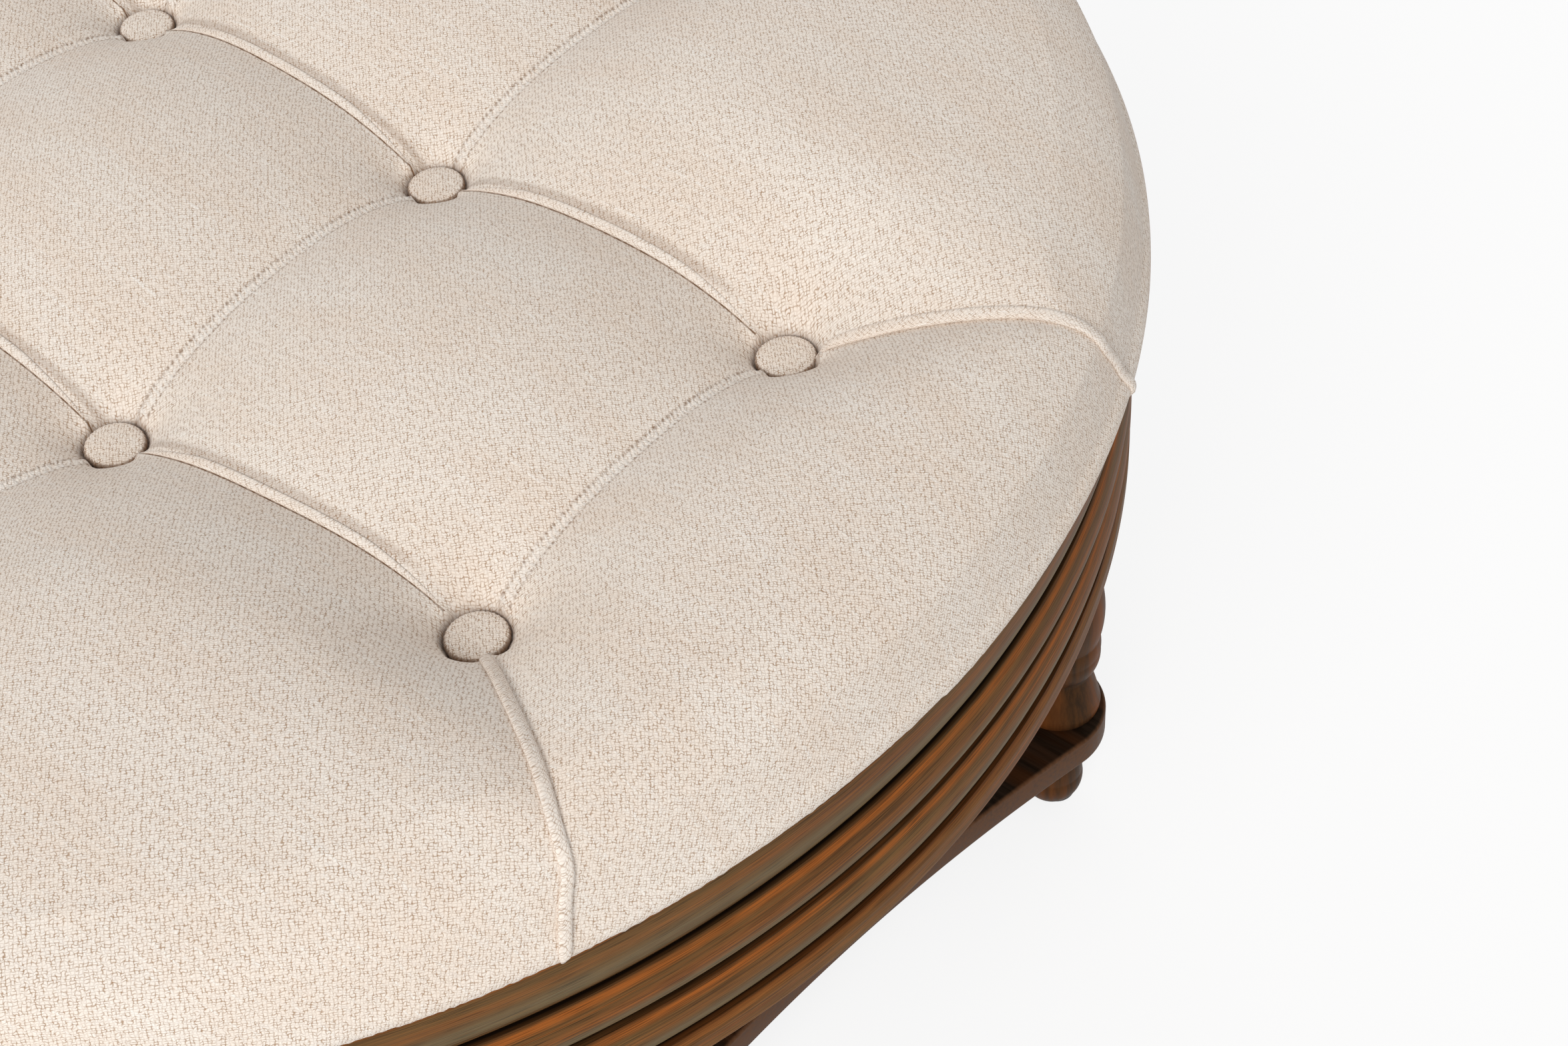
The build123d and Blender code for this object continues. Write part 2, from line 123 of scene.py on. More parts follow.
# Meshes from points and faces worked out as whole arrays; edges sharper than the angle stay crisp
def meshPiece(name, points, faces, finish, uv=None, values=None, crisp=40.0):
    mesh = bpy.data.meshes.new(name)
    mesh.from_pydata((points * mm).tolist(), [], [face for group in faces for face in group.tolist()])
    mesh.validate()
    if uv is not None:
        layer = mesh.uv_layers.new(name="cloth")
        corner = np.empty(len(mesh.loops), np.int32)
        mesh.loops.foreach_get("vertex_index", corner)
        layer.data.foreach_set("uv", uv[corner].astype(np.float32).ravel())
    for key, data in (values or {}).items():
        attribute = mesh.attributes.new(key, "FLOAT", "POINT")
        attribute.data.foreach_set("value", data.astype(np.float32).ravel())
    mesh.polygons.foreach_set("use_smooth", np.ones(len(mesh.polygons), bool))
    if crisp:
        mesh.set_sharp_from_angle(angle=math.radians(crisp))
    mesh.materials.append(finish)
    piece = addObject(name, mesh)
    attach(piece, "root")
    return piece


# A turned solid: each profile point swept through the angles about an upright axis, its poles as fans
def turnedMesh(profile, steps, centre=(0, 0)):
    plan = np.array(centre) + profile[:, :1, None] * ray(np.arange(steps) * tau / steps)
    grid = np.dstack([plan, np.broadcast_to(profile[:, 1:], plan.shape[:2])]).reshape(-1, 3)
    poles = [[*centre, profile[0, 1]], [*centre, profile[-1, 1]]]
    last = (len(profile) - 1) * steps
    faces = [gridFaces(len(profile), steps), fanFaces(len(grid), 0, steps, False),
             fanFaces(len(grid) + 1, last, steps, True)]
    return np.vstack([grid, poles]), faces


# A chain of line and arc stretches as points; an arc is given by its middle and end
def outline(start, *steps, spacing=1.0):
    points = [np.array(start, float)]
    for step in steps:
        here = points[-1]
        if isinstance(step[0], tuple):
            middle, end = np.array(step[0], float), np.array(step[1], float)
            points.extend(arcPoints(here, middle, end, spacing))
        else:
            end = np.array(step, float)
            count = max(1, int(np.linalg.norm(end - here) / spacing / 2))
            points.extend(here + (end - here) * k / count for k in range(1, count + 1))
    return np.array(points)


# Points of the circle through three points, from the first to the last
def arcPoints(a, b, c, spacing):
    d = 2 * (a[0] * (b[1] - c[1]) + b[0] * (c[1] - a[1]) + c[0] * (a[1] - b[1]))
    sa, sb, sc = a @ a, b @ b, c @ c
    centre = np.array([
        (sa * (b[1] - c[1]) + sb * (c[1] - a[1]) + sc * (a[1] - b[1])) / d,
        (sa * (c[0] - b[0]) + sb * (a[0] - c[0]) + sc * (b[0] - a[0])) / d])
    radius = np.linalg.norm(a - centre)
    first, middle, last = (math.atan2(p[1] - centre[1], p[0] - centre[0]) for p in (a, b, c))
    turn = (last - first) % tau
    if (middle - first) % tau > turn:
        turn -= tau
    count = max(4, int(abs(turn) * radius / spacing))
    angles = first + turn * np.arange(1, count + 1) / count
    return list(centre + radius * ray(angles))


# Smooth value noise of one or two arrays, the same on every run: sines of several lengths
def ripple(u, v, length, seed):
    rng = np.random.default_rng(seed)
    total = np.zeros(np.broadcast(u, v).shape)
    waves = 7
    for _ in range(waves):
        angle, phase = rng.uniform(0, tau, 2)
        stretch = rng.uniform(0.7, 1.6)
        total += np.sin((u * math.cos(angle) + v * math.sin(angle)) * tau / (length * stretch) + phase)
    return total / waves


class Wire:  # one output socket of a node; its operators add Math nodes
    def __init__(self, finish, socket):
        self.finish = finish
        self.socket = socket

    def math(self, operation, *values):
        return self.finish.node("ShaderNodeMath", {"operation": operation}, dict(enumerate(values)))

    def __add__(self, other):
        return self.math("ADD", self, other)

    def __sub__(self, other):
        return self.math("SUBTRACT", self, other)

    def __rsub__(self, other):
        return self.math("SUBTRACT", other, self)

    def __mul__(self, other):
        return self.math("MULTIPLY", self, other)

    def __pow__(self, other):
        return self.math("POWER", self, other)

    def __abs__(self):
        return self.math("ABSOLUTE", self)

    __radd__ = __add__
    __rmul__ = __mul__

    def sine(self):
        return self.math("SINE", self)

    def smaller(self, other):
        return self.math("MINIMUM", self, other)

    def ramp(self, low, high, a=0.0, b=1.0):  # smooth step from a to b between low and high
        settings = {"interpolation_type": "SMOOTHSTEP"}
        inputs = {"Value": self, "From Min": low, "From Max": high, "To Min": a, "To Max": b}
        return self.finish.node("ShaderNodeMapRange", settings, inputs)


class Finish:  # one material
    def __init__(self, name):
        self.material = bpy.data.materials.new(name)
        self.material.use_nodes = True
        self.tree = self.material.node_tree
        self.tree.nodes.clear()

    def node(self, kind, settings=None, inputs=None, output=0):
        made = self.tree.nodes.new(kind)
        for key, value in (settings or {}).items():
            setattr(made, key, value)
        for key, value in (inputs or {}).items():
            if isinstance(value, Wire):
                self.tree.links.new(value.socket, made.inputs[key])
            else:
                made.inputs[key].default_value = value
        return Wire(self, made.outputs[output]) if made.outputs else None

    def mix(self, share, a, b):
        return self.node("ShaderNodeMix", {"data_type": "RGBA"}, {0: share, 6: a, 7: b}, output=2)

    def coats(self, base, *layers):  # colours laid over the base in turn, each by its share
        for share, colour in layers:
            base = self.mix(share, base, colour)
        return base

    def noise(self, vector, scale, detail=2.0, rough=0.5):
        inputs = {"Vector": vector, "Scale": scale, "Detail": detail, "Roughness": rough}
        return self.node("ShaderNodeTexNoise", {"noise_dimensions": "3D"}, inputs)

    def place(self):
        return self.parts(self.node("ShaderNodeTexCoord", output="Object"))

    def stretchedPlace(self, scale):
        return self.vector(*[part * times for part, times in zip(self.place(), scale)])

    def mark(self, name):
        return self.node("ShaderNodeAttribute", {"attribute_name": name}, output="Fac")

    def parts(self, vector):
        first = self.node("ShaderNodeSeparateXYZ", {}, {0: vector})
        outputs = first.socket.node.outputs
        return [Wire(self, outputs[k]) for k in range(3)]

    def vector(self, x, y, z=0.0):
        return self.node("ShaderNodeCombineXYZ", {}, {0: x, 1: y, 2: z})

    def bump(self, height, distance, strength):
        return self.node("ShaderNodeBump", {}, {"Height": height, "Distance": distance, "Strength": strength})

    def shade(self, **inputs):
        names = {key.replace("_", " "): value for key, value in inputs.items()}
        shader = self.node("ShaderNodeBsdfPrincipled", {}, names)
        self.node("ShaderNodeOutputMaterial", {}, {"Surface": shader})
        return self.material


def paint(red, green, blue):  # a colour given 0 to 255 as seen, to Blender's linear values
    seen = np.array([red, green, blue]) / 255
    linear = np.where(seen <= 0.04045, seen / 12.92, ((seen + 0.055) / 1.055) ** 2.4)
    return (*linear.tolist(), 1.0)


# Fabric: warp and weft lie at 45 degrees to the seams, each bent by a noise; pale slubs run along X.
# A pitch is the width of a warp yarn in millimetres. Noise scales are in waves a metre along U and V.
# Seams and folds end at shares of half the buttons' spacing, first the inner ones, then the outer.
fabric = {
    "pitch": 1.45,
    "buttonShare": 0.85,
    "weftShare": 0.72,
    "cream": paint(246, 237, 227),
    "grey": paint(238, 231, 224),
    "warm": paint(243, 230, 217),
    "gap": paint(172, 142, 115),
    "squirm": 1.4,
    "slub": paint(252, 247, 240),
    "creaseShade": paint(124, 90, 60),
    "relief": 0.24,
    "stitch": (0.15, 0.6),
    "stitchRelief": 2.0,
    "ribPitch": 2.7,
    "ribHalf": 2.6,
    "ribRelief": 2.4,
    "ribHighlight": 0.45,
    "border": (0.2, 1.1),
    "foldShade": (3.4, 4.6, 6.0, 9.0),
    "foldPaint": 0.3,
    "seamEnds": ((2.84, 2.86), (0.84, 0.86)),
    "foldEnds": (2.8, 0.8),
    "seamWane": 30.0,
    "slubScale": (26.0, 700.0),
    "dotScale": (420.0, 700.0),
    "slubRelief": 0.5,
    "slubPaint": 0.7,
    "hazeScale": 30.0,
    "clumpScale": 260.0,
}


# Distance from the seams that run along one axis: two lines at half a pitch, two short ones at one and a half
def seamSide(along, across):
    near, far = abs(abs(across) - half * mm), abs(abs(across) - 3 * half * mm)
    inner, outer = (abs(along).ramp(low * half * mm, high * half * mm, 0.0, 1.0)
                    for low, high in fabric["seamEnds"])
    return (near + inner).smaller(far + outer)


# Soft shade on the far side of the folded strips, which lie on the +Y side of the seams along X
def foldShade(u, v):
    start, full, wane, gone = (reach * mm for reach in fabric["foldShade"])
    innerEnd, outerEnd = fabric["foldEnds"]
    total = None
    for line in (-3, -1, 1, 3):
        away = v - line * half * mm
        reach = (innerEnd if abs(line) == 1 else outerEnd) * half * mm
        span = abs(u).ramp(reach - fabric["seamWane"] * mm, reach, 1.0, 0.0)
        shade = away.ramp(start, full) * away.ramp(wane, gone, 1.0, 0.0) * span
        total = shade if total is None else total + shade
    return total


# Each yarn is the size of a sine across its own run, and the sines' product tells which lies on top.
# The gaps between yarns are painted dark and stand lower; seams add a rope of ribs with painted highlights on
# their crests beside a stitched line painted dark as stitching and crease shade, and painted shade lies
# beyond the folded strips.
def weaveFinish(name, pitch, gapDepth, seamed=False):
    f = Finish(name)
    c = fabric
    cloth = f.node("ShaderNodeUVMap", {"uv_map": "cloth"})
    u, v, _ = f.parts(cloth)
    scale = 1 / (pitch * mm)
    first = f.noise(cloth, scale * 0.5, 1.0, 0.6)
    second = f.noise(f.vector(u + 0.37, v * 1.1 + 0.21), scale * 0.5, 1.0, 0.6)
    third = f.noise(f.vector(u - 0.41, v + 0.13), scale * 0.8, 0.0)
    squirm = c["squirm"] * pitch * mm
    warpRun = (u + v) * math.sqrt(0.5) + (first - 0.5) * squirm
    weftRun = (v - u) * math.sqrt(0.5) + (second - 0.5) * squirm
    warpWave = (warpRun * (scale * math.pi)).sine()
    weftWave = (weftRun * (scale * math.pi / c["weftShare"])).sine()
    over = (warpWave * weftWave).ramp(-0.25, 0.25)
    yarn = over * abs(warpWave).ramp(0.0, 0.95) + (1.0 - over) * abs(weftWave).ramp(0.0, 1.0)
    rows = f.noise(f.vector(u * c["slubScale"][0], v * c["slubScale"][1]), 1.0, 2.0)
    dots = f.noise(f.vector(u * c["dotScale"][0], v * c["dotScale"][1]), 1.0, 1.0)
    slub = rows.ramp(0.54, 0.66) * dots.ramp(0.4, 0.6)
    haze = f.noise(f.vector(u * 0.4, v), c["hazeScale"], 3.0, 0.6)
    clump = f.noise(f.vector(u * 0.6, v), c["clumpScale"], 2.0, 0.6)
    depth = clump.ramp(0.3, 0.7, 0.85, 1.1) * third.ramp(0.35, 0.65, 0.35, 1.25) * gapDepth
    base = f.coats(
        f.mix(haze.ramp(0.34, 0.66), c["warm"], c["cream"]),
        (clump.ramp(0.42, 0.66, 0.0, 0.3), c["grey"]),
        (slub * c["slubPaint"], c["slub"]),
        ((1.0 - yarn) * depth, c["gap"]))
    height = yarn + slub * c["slubRelief"]
    if seamed:
        ribHalf = c["ribHalf"] * mm
        stitch = seamSide(u, v).ramp(c["stitch"][0] * mm, c["stitch"][1] * mm, 1.0, 0.0)
        side = seamSide(v, u)
        band = side.ramp(ribHalf * 0.6, ribHalf * 1.3, 1.0, 0.0)
        border = abs(side - ribHalf).ramp(c["border"][0] * mm, c["border"][1] * mm, 1.0, 0.0)
        rib = (v * (tau / (c["ribPitch"] * mm)) + second * 9.0 + u * 900.0).sine() * 0.5 + 0.5
        base = f.coats(
            base,
            # painted highlight: the rib crests painted pale
            (band * rib * c["ribHighlight"], c["slub"]),
            # dotted dark lines along both edges of the rib band, between the ribs
            (border * (1.0 - rib) * dots.ramp(0.35, 0.6, 0.2, 0.75), c["creaseShade"]),
            # the stitched line painted dark: stitching and painted crease shade
            (stitch * rib.ramp(0.0, 1.0, 0.6, 0.95), c["creaseShade"]),
            (foldShade(u, v) * c["foldPaint"], c["creaseShade"]))
        height = height + band * rib * c["ribRelief"] - border - stitch * c["stitchRelief"]
    # painted shade where the crease shade mark lies: round the buttons, under the folds, at the buttons'
    # lower rim
    base = f.coats(base, (f.mark("creaseShade") * clump.ramp(0.3, 0.6, 0.7, 1.0), c["creaseShade"]))
    normal = f.bump(height, c["relief"] * mm, 0.5)
    return f.shade(Base_Color=base, Roughness=0.92, Normal=normal, Sheen_Weight=0.12, Sheen_Roughness=0.5,
                   Specular_IOR_Level=0.15)


# Timber: brown stain, orange where the crests are rubbed, a painted grey-green sheen below, painted shade in
# the quirks.
# Grain scales are noise waves a metre, along the grain first on the reeds, and along X, Y and Z on the turned
# work.
timber = {
    "grain": (14.0, 1100.0),
    "fine": (50.0, 2400.0),
    "cloud": (6.0, 70.0),
    "streak": (3.0, 420.0),
    "turnedGrain": (420.0, 420.0, 26.0),
    "boardGrain": (22.0, 420.0, 420.0),
    "cloudShare": 0.14,
    "brown": paint(122, 86, 50),
    "dark": paint(78, 52, 30),
    "olive": paint(110, 90, 57),
    "orange": paint(176, 96, 38),
    "paintedSheen": paint(120, 108, 80),
    "quirk": paint(20, 12, 7),
    "gloss": paint(255, 226, 180),
    "leg": paint(84, 54, 31),
    "legDark": paint(52, 34, 21),
    "shelf": paint(46, 33, 25),
    "shelfEdgeLit": paint(98, 66, 45),
}


# Grain runs round the apron: each noise is stretched along the arc and fine across the reeds' slope
def reedFinish():
    f = Finish("reed_stain")
    t = timber
    x, y, z = f.place()
    run = y.math("ARCTAN2", y, x) * (seatRadius * mm)
    across = z - (x * x + y * y) ** 0.5

    def stretched(key, detail, rough=0.5):
        return f.noise(f.vector(run * t[key][0], across * t[key][1]), 1.0, detail, rough)

    grain = stretched("grain", 4.0, 0.65)
    fine = stretched("fine", 2.0)
    cloud = stretched("cloud", 2.0)
    streak = stretched("streak", 3.0, 0.6)
    base = f.coats(
        f.mix(grain.ramp(0.3, 0.7), t["dark"], t["brown"]),
        (cloud.ramp(0.4, 0.65) * 0.5, t["olive"]),
        (streak.ramp(0.52, 0.68) * cloud.ramp(0.35, 0.6, 0.5, 0.1), t["orange"]),
        # painted sheen: a grey-green reflection painted on each reed's lower flank
        (f.mark("paintedSheen") * grain.ramp(0.35, 0.6, 0.4, 1.0) * fine.ramp(0.35, 0.6, 0.45, 1.0), t["paintedSheen"]),
        (f.mark("wear") * grain.ramp(0.35, 0.6, 0.35, 0.95), t["orange"]),
        # dark grain flecks, in the same black that paints the shade
        (fine.ramp(0.48, 0.68) * 0.5, t["quirk"]),
        # painted shade in and about the quirks, from the shade mark
        (f.mark("quirk"), t["quirk"]))
    rough = grain.ramp(0.2, 0.8, 0.42, 0.62)
    normal = f.bump(grain, 0.25 * mm, 0.5)
    return f.shade(Base_Color=base, Roughness=rough, Normal=normal, Specular_IOR_Level=0.1,
                   Specular_Tint=timber["gloss"])


# Straight grain between a dark tone and a light one, clouded orange, painted shade at the shade mark, a paler
# painted lit edge at the edge mark
def turnedFinish(name, tone, dark, scale, clouded):
    f = Finish(name)
    stretch = f.stretchedPlace(scale)
    grain = f.noise(stretch, 1.0, 4.0, 0.6)
    cloud = f.noise(stretch, timber["cloudShare"], 2.0)
    base = f.coats(
        f.mix(grain.ramp(0.3, 0.7), dark, tone),
        (cloud.ramp(0.45, 0.7) * clouded, timber["orange"]),
        (f.mark("quirk"), timber["quirk"]),
        (f.mark("edge") * grain.ramp(0.3, 0.7, 0.6, 1.0), timber["shelfEdgeLit"]))
    normal = f.bump(grain, 0.2 * mm, 0.3)
    rough = grain.ramp(0.2, 0.8, 0.4, 0.58)
    return f.shade(Base_Color=base, Roughness=rough, Normal=normal, Specular_IOR_Level=0.12,
                   Specular_Tint=timber["gloss"])


# One noise, stretched by the scale, shifts the colour from low to high and the roughness a little
def plainFinish(name, low, high, rough, metallic=0.0, scale=(300.0, 300.0, 300.0), relief=0.1):
    f = Finish(name)
    grain = f.noise(f.stretchedPlace(scale), 1.0, 3.0)
    base = f.mix(grain.ramp(0.3, 0.7), paint(*low), paint(*high))
    return f.shade(Base_Color=base, Roughness=grain.ramp(0.2, 0.8, rough - 0.08, rough + 0.08),
                   Metallic=metallic, Normal=f.bump(grain, relief * mm, 0.4))


coverFinish = weaveFinish("crepe_cover", fabric["pitch"], 0.85, seamed=True)
foldFinish = weaveFinish("crepe_fold", fabric["pitch"], 0.75)
buttonFinish = weaveFinish("crepe_button", fabric["pitch"] * fabric["buttonShare"], 1.0)
apronFinish = reedFinish()
legFinish = turnedFinish("turned_stain", timber["leg"], timber["legDark"], timber["turnedGrain"], 0.3)
shelfFinish = turnedFinish("shelf_stain", timber["shelf"], timber["quirk"], timber["boardGrain"], 0.12)
nodeFinishes = {
    "inner_wood": plainFinish("raw_wood", (178, 142, 100), (206, 172, 126), 0.7, scale=(20.0, 400.0, 400.0)),
    "foam": plainFinish("foam_cells", (212, 202, 168), (232, 224, 196), 0.9, scale=(900.0,) * 3, relief=0.6),
    "under_cloth": plainFinish("dust_cloth", (18, 18, 18), (34, 34, 34), 0.9, scale=(1200.0,) * 3),
    "twine": plainFinish("waxed_twine", (168, 150, 120), (200, 184, 152), 0.7, scale=(900.0,) * 3),
    "hardware": plainFinish("zinc_plate", (150, 150, 148), (190, 190, 186), 0.4, 1.0),
    "insert_brass": plainFinish("turned_brass", (170, 132, 62), (205, 168, 92), 0.35, 1.0),
    "glide_nylon": plainFinish("dark_nylon", (26, 24, 22), (40, 37, 34), 0.5),
    "apron_wood": apronFinish,
    "turned_wood": legFinish,
    "shelf_wood": shelfFinish,
    "cover_fabric": plainFinish("hem_cloth", (214, 194, 172), (232, 216, 198), 0.9, scale=(700.0,) * 3),
}
for entry in frame["record"]["subparts"]:
    node = frame["nodes"][entry["node"]]
    node.data.materials.clear()
    node.data.materials.append(nodeFinishes[entry["material_slot"]])
print("finishes made")


# Cushion. The cover's height is a sheet over foam: h - reach^2 * laplacian(h) = free height, held down at
# the buttons and along the seams and pleats, worked out by relaxation on ever finer grids. A cloth
# simulation of the sheet, pinned at the same places, then adds how the weave swells and pulls.
cushion = {
    "footDraw": 1.8,
    "bulge": 5.5,
    "side": ((3.4, 12.0), (7.6, 25.0)),
    "shoulder": ((12.0, 36.5), (27.3, 48.0)),
    "crownEdge": ((37.5, 53.0), (70.0, 57.5)),
    "crown": 64.0,
    "freeHeight": 134.0,
    "reach": 100.0,
    "seat": 11.0,
    "seamCrest": 34.5,
    "seamPower": 2.5,
    "pleatCrest": 47.0,
    "pleatRise": 0.7,
    "pleatPower": 1.6,
    "pleatSlope": 0.3,
    "blend": 9.0,
    "overshoot": 1.85,
    "pressFade": (16.0, 28.0),
    "sag": 0.7,
    "sagLength": 150.0,
    "sagHeight": 24.0,
    "fray": 0.22,
    "frayHeight": 2.0,
    "sideTop": 30.0,
    "sideCloth": 60.0,
    "sweeps": (420, 200, 120),
    "gridShares": (0.1, 0.05, 0.025),
    "steps": 1440,
    "warpSpread": 58.0,
    "buttonCreaseShade": (0.85, 0.3, 1.7),
}

# How far each hand-tied button in sight stands from its place in the square pattern
strays = {(285, -95): (-0.3, 8.6), (95, -95): (5.4, -1.6), (95, 95): (-1.3, -2.6), (285, 95): (-1.9, -0.3),
          (-95, 95): (-1.8, 4.4)}

# A pleat in plan: its turn from the rim puff's middle at radii on the top, then at heights down the side
pleatCourse = {
    "radii": (300.4, 347.0, 388.0, 410.0, 422.0),
    "topTurns": (18.43, 19.6, 20.4, 21.0, 21.3),
    "heights": (24.0, 12.0, 0.0),
    "sideTurns": (21.75, 22.2, 22.7),
}


def envelopeProfile():
    c = cushion
    r = seatRadius

    def at(pair):
        return (r - pair[0], pair[1])

    return outline(
        (0, c["crown"]),
        (at(c["crownEdge"][1]), at(c["crownEdge"][0])),
        (at(c["shoulder"][1]), at(c["shoulder"][0])),
        (at(c["side"][1]), at(c["side"][0])),
        ((r, c["bulge"]), (r - c["footDraw"], table["cushionBase"] - apronTop)),
        spacing=1.8)[2:]


profile = envelopeProfile()
profileTop = int(np.argmax(profile[:, 0]))


# Row of the cover's net at a plan radius on the top, or at a height down the side
def rowOfRadius(radius):
    return np.interp(radius, profile[:profileTop, 0], np.arange(profileTop))


def rowOfHeight(height):
    first = int(np.argmax(profile[:, 1] < cushion["sideTop"]))
    rows = np.arange(first, len(profile))
    return np.interp(-np.asarray(height, float), -profile[first:, 1], rows)


# Each pleat as rows and turns, from its button to the fabric's edge; the side tells where its rim puff lies
def pleatRuns():
    course = pleatCourse
    rows = np.concatenate([rowOfRadius(course["radii"]), rowOfHeight(course["heights"])])
    turns = np.radians(course["topTurns"] + course["sideTurns"])
    runs = []
    for quarter in range(4):
        for side in (1, -1):
            runs.append((rows, quarter * tau / 4 + side * turns, side))
    return runs


pleats = pleatRuns()


# Distance from a pleat's plan line, and how far along it, of every point of the arrays
def pleatDistance(x, y, run):
    rows, turns, _ = run
    radii = np.interp(rows, np.arange(len(profile)), profile[:, 0])
    px, py = radii * np.cos(turns), radii * np.sin(turns)
    lengths = np.concatenate([[0], np.cumsum(np.hypot(np.diff(px), np.diff(py)))])
    away, share = np.full(x.shape, 1e9), np.zeros(x.shape)
    for k in range(len(px) - 1):
        dx, dy = px[k + 1] - px[k], py[k + 1] - py[k]
        piece = lengths[k + 1] - lengths[k]
        inside = np.clip(((x - px[k]) * dx + (y - py[k]) * dy) / piece ** 2, 0, 1)
        near = np.hypot(x - px[k] - inside * dx, y - py[k] - inside * dy)
        share = np.where(near < away, (lengths[k] + inside * piece) / lengths[-1], share)
        away = np.minimum(away, near)
    return away, share


# Seam height falls from its crest to the button seat as a power of the share from the middle
def seamHeight(share):
    c = cushion
    return c["seamCrest"] - (c["seamCrest"] - c["seat"]) * np.abs(share) ** c["seamPower"]


# A pleat climbs from its button to its crest, level once it has risen
def pleatHeight(share):
    c = cushion
    left = rise(share, c["pleatRise"], 0)
    return c["pleatCrest"] - (c["pleatCrest"] - c["seat"]) * left ** c["pleatPower"]


def seams():
    return [(line, span) for line in (-3, -1, 1, 3) for span in (-2, 0, 2) if abs(line) == 1 or span == 0]


def planGrid(spacing):
    count = int(math.ceil(seatRadius / spacing)) + 1
    axis = np.arange(-count, count + 1) * spacing
    return axis, *np.meshgrid(axis, axis, indexing="ij")


# Where the sheet is held, and at which height
def heldDown(x, y, spacing):
    c = cushion
    fixed = np.zeros(x.shape, bool)
    value = np.zeros(x.shape)
    for line, span in seams():
        for along, cross in ((x, y), (y, x)):
            share = (along - span * half) / half
            on = (np.abs(cross - line * half) < spacing * 0.4) & (np.abs(share) <= 1.001)
            fixed |= on
            value = np.where(on, seamHeight(share), value)
    for run in pleats:
        away, share = pleatDistance(x, y, run)
        on = (away < spacing * 0.8) & ~fixed
        value = np.where(on, pleatHeight(share) + c["pleatSlope"] * away, value)
        fixed |= on
    for a, b in buttonPlaces:
        on = np.hypot(x - a, y - b) < table["buttonRadius"]
        value = np.where(on, c["seat"], value)
        fixed |= on
    rim = (np.hypot(x, y) > seatRadius - c["shoulder"][0][0]) & ~fixed
    value = np.where(rim, c["crown"], value)
    return fixed | rim, value


# Each sweep moves every other point past its rest height, like the squares of a chessboard in turn
def relax(spacing, sweeps, start=None):
    c = cushion
    axis, x, y = planGrid(spacing)
    fixed, value = heldDown(x, y, spacing)
    h = np.where(fixed, value, c["crown"] if start is None else sample(*start, x, y))
    pull = (c["reach"] / spacing) ** 2
    parity = (np.add.outer(np.arange(len(axis)), np.arange(len(axis))) % 2).astype(bool)
    inner = (slice(1, -1), slice(1, -1))
    for _ in range(sweeps):
        for colour in (parity, ~parity):
            around = h[:-2, 1:-1] + h[2:, 1:-1] + h[1:-1, :-2] + h[1:-1, 2:]
            rest = (c["freeHeight"] + pull * around) / (1 + 4 * pull)
            better = h[inner] + c["overshoot"] * (rest - h[inner])
            h[inner] = np.where(colour[inner] & ~fixed[inner], better, h[inner])
    print("cover relaxed at", round(spacing, 2), "mm")
    return axis, h


# Smooth interpolation of a grid at any plan position, cubic each way
def sample(axis, h, x, y):
    spacing = axis[1] - axis[0]
    gx = np.clip((x - axis[0]) / spacing, 1, len(axis) - 3)
    gy = np.clip((y - axis[0]) / spacing, 1, len(axis) - 3)
    ix, iy = np.floor(gx).astype(int), np.floor(gy).astype(int)
    tx, ty = gx - ix, gy - iy

    def weights(t):
        return (-0.5 * t + t ** 2 - 0.5 * t ** 3, 1 - 2.5 * t ** 2 + 1.5 * t ** 3,
                0.5 * t + 2 * t ** 2 - 1.5 * t ** 3, -0.5 * t ** 2 + 0.5 * t ** 3)

    wx, wy = weights(tx), weights(ty)
    total = np.zeros(x.shape)
    for i in range(4):
        for j in range(4):
            total += wx[i] * wy[j] * h[ix + i - 1, iy + j - 1]
    return total


# Lower of two heights with a rounded meeting
def softLower(a, b, width):
    share = np.clip(0.5 + 0.5 * (b - a) / width, 0, 1)
    return b + (a - b) * share - width * share * (1 - share)


def relaxedCover():
    grid = None
    for share, sweeps in zip(cushion["gridShares"], cushion["sweeps"]):
        grid = relax(half * share, sweeps, grid)
    return grid


coverGrid = relaxedCover()


def coverHeight(x, y, envelope):
    return softLower(envelope, sample(*coverGrid, x, y), cushion["blend"])


# The pressed cloth: frames to run, pressure under the sheet and the most that a point may move
cloth = {"frames": 20, "pressure": 4.0, "cap": 3.5, "gridShare": 0.05, "mass": 0.3, "tension": 40.0,
         "bending": 3.0}


def sheetMesh(x, y, z, inside):
    number = np.full(x.shape, -1)
    number[inside] = np.arange(inside.sum())
    quads = np.stack([number[:-1, :-1], number[1:, :-1], number[1:, 1:], number[:-1, 1:]], -1).reshape(-1, 4)
    quads = quads[quads.min(1) >= 0]
    mesh = bpy.data.meshes.new("pressed_sheet")
    points = np.stack([x[inside], y[inside], z[inside]], -1) * mm
    mesh.from_pydata(points.tolist(), [], quads.tolist())
    return addObject("pressed_sheet", mesh), points


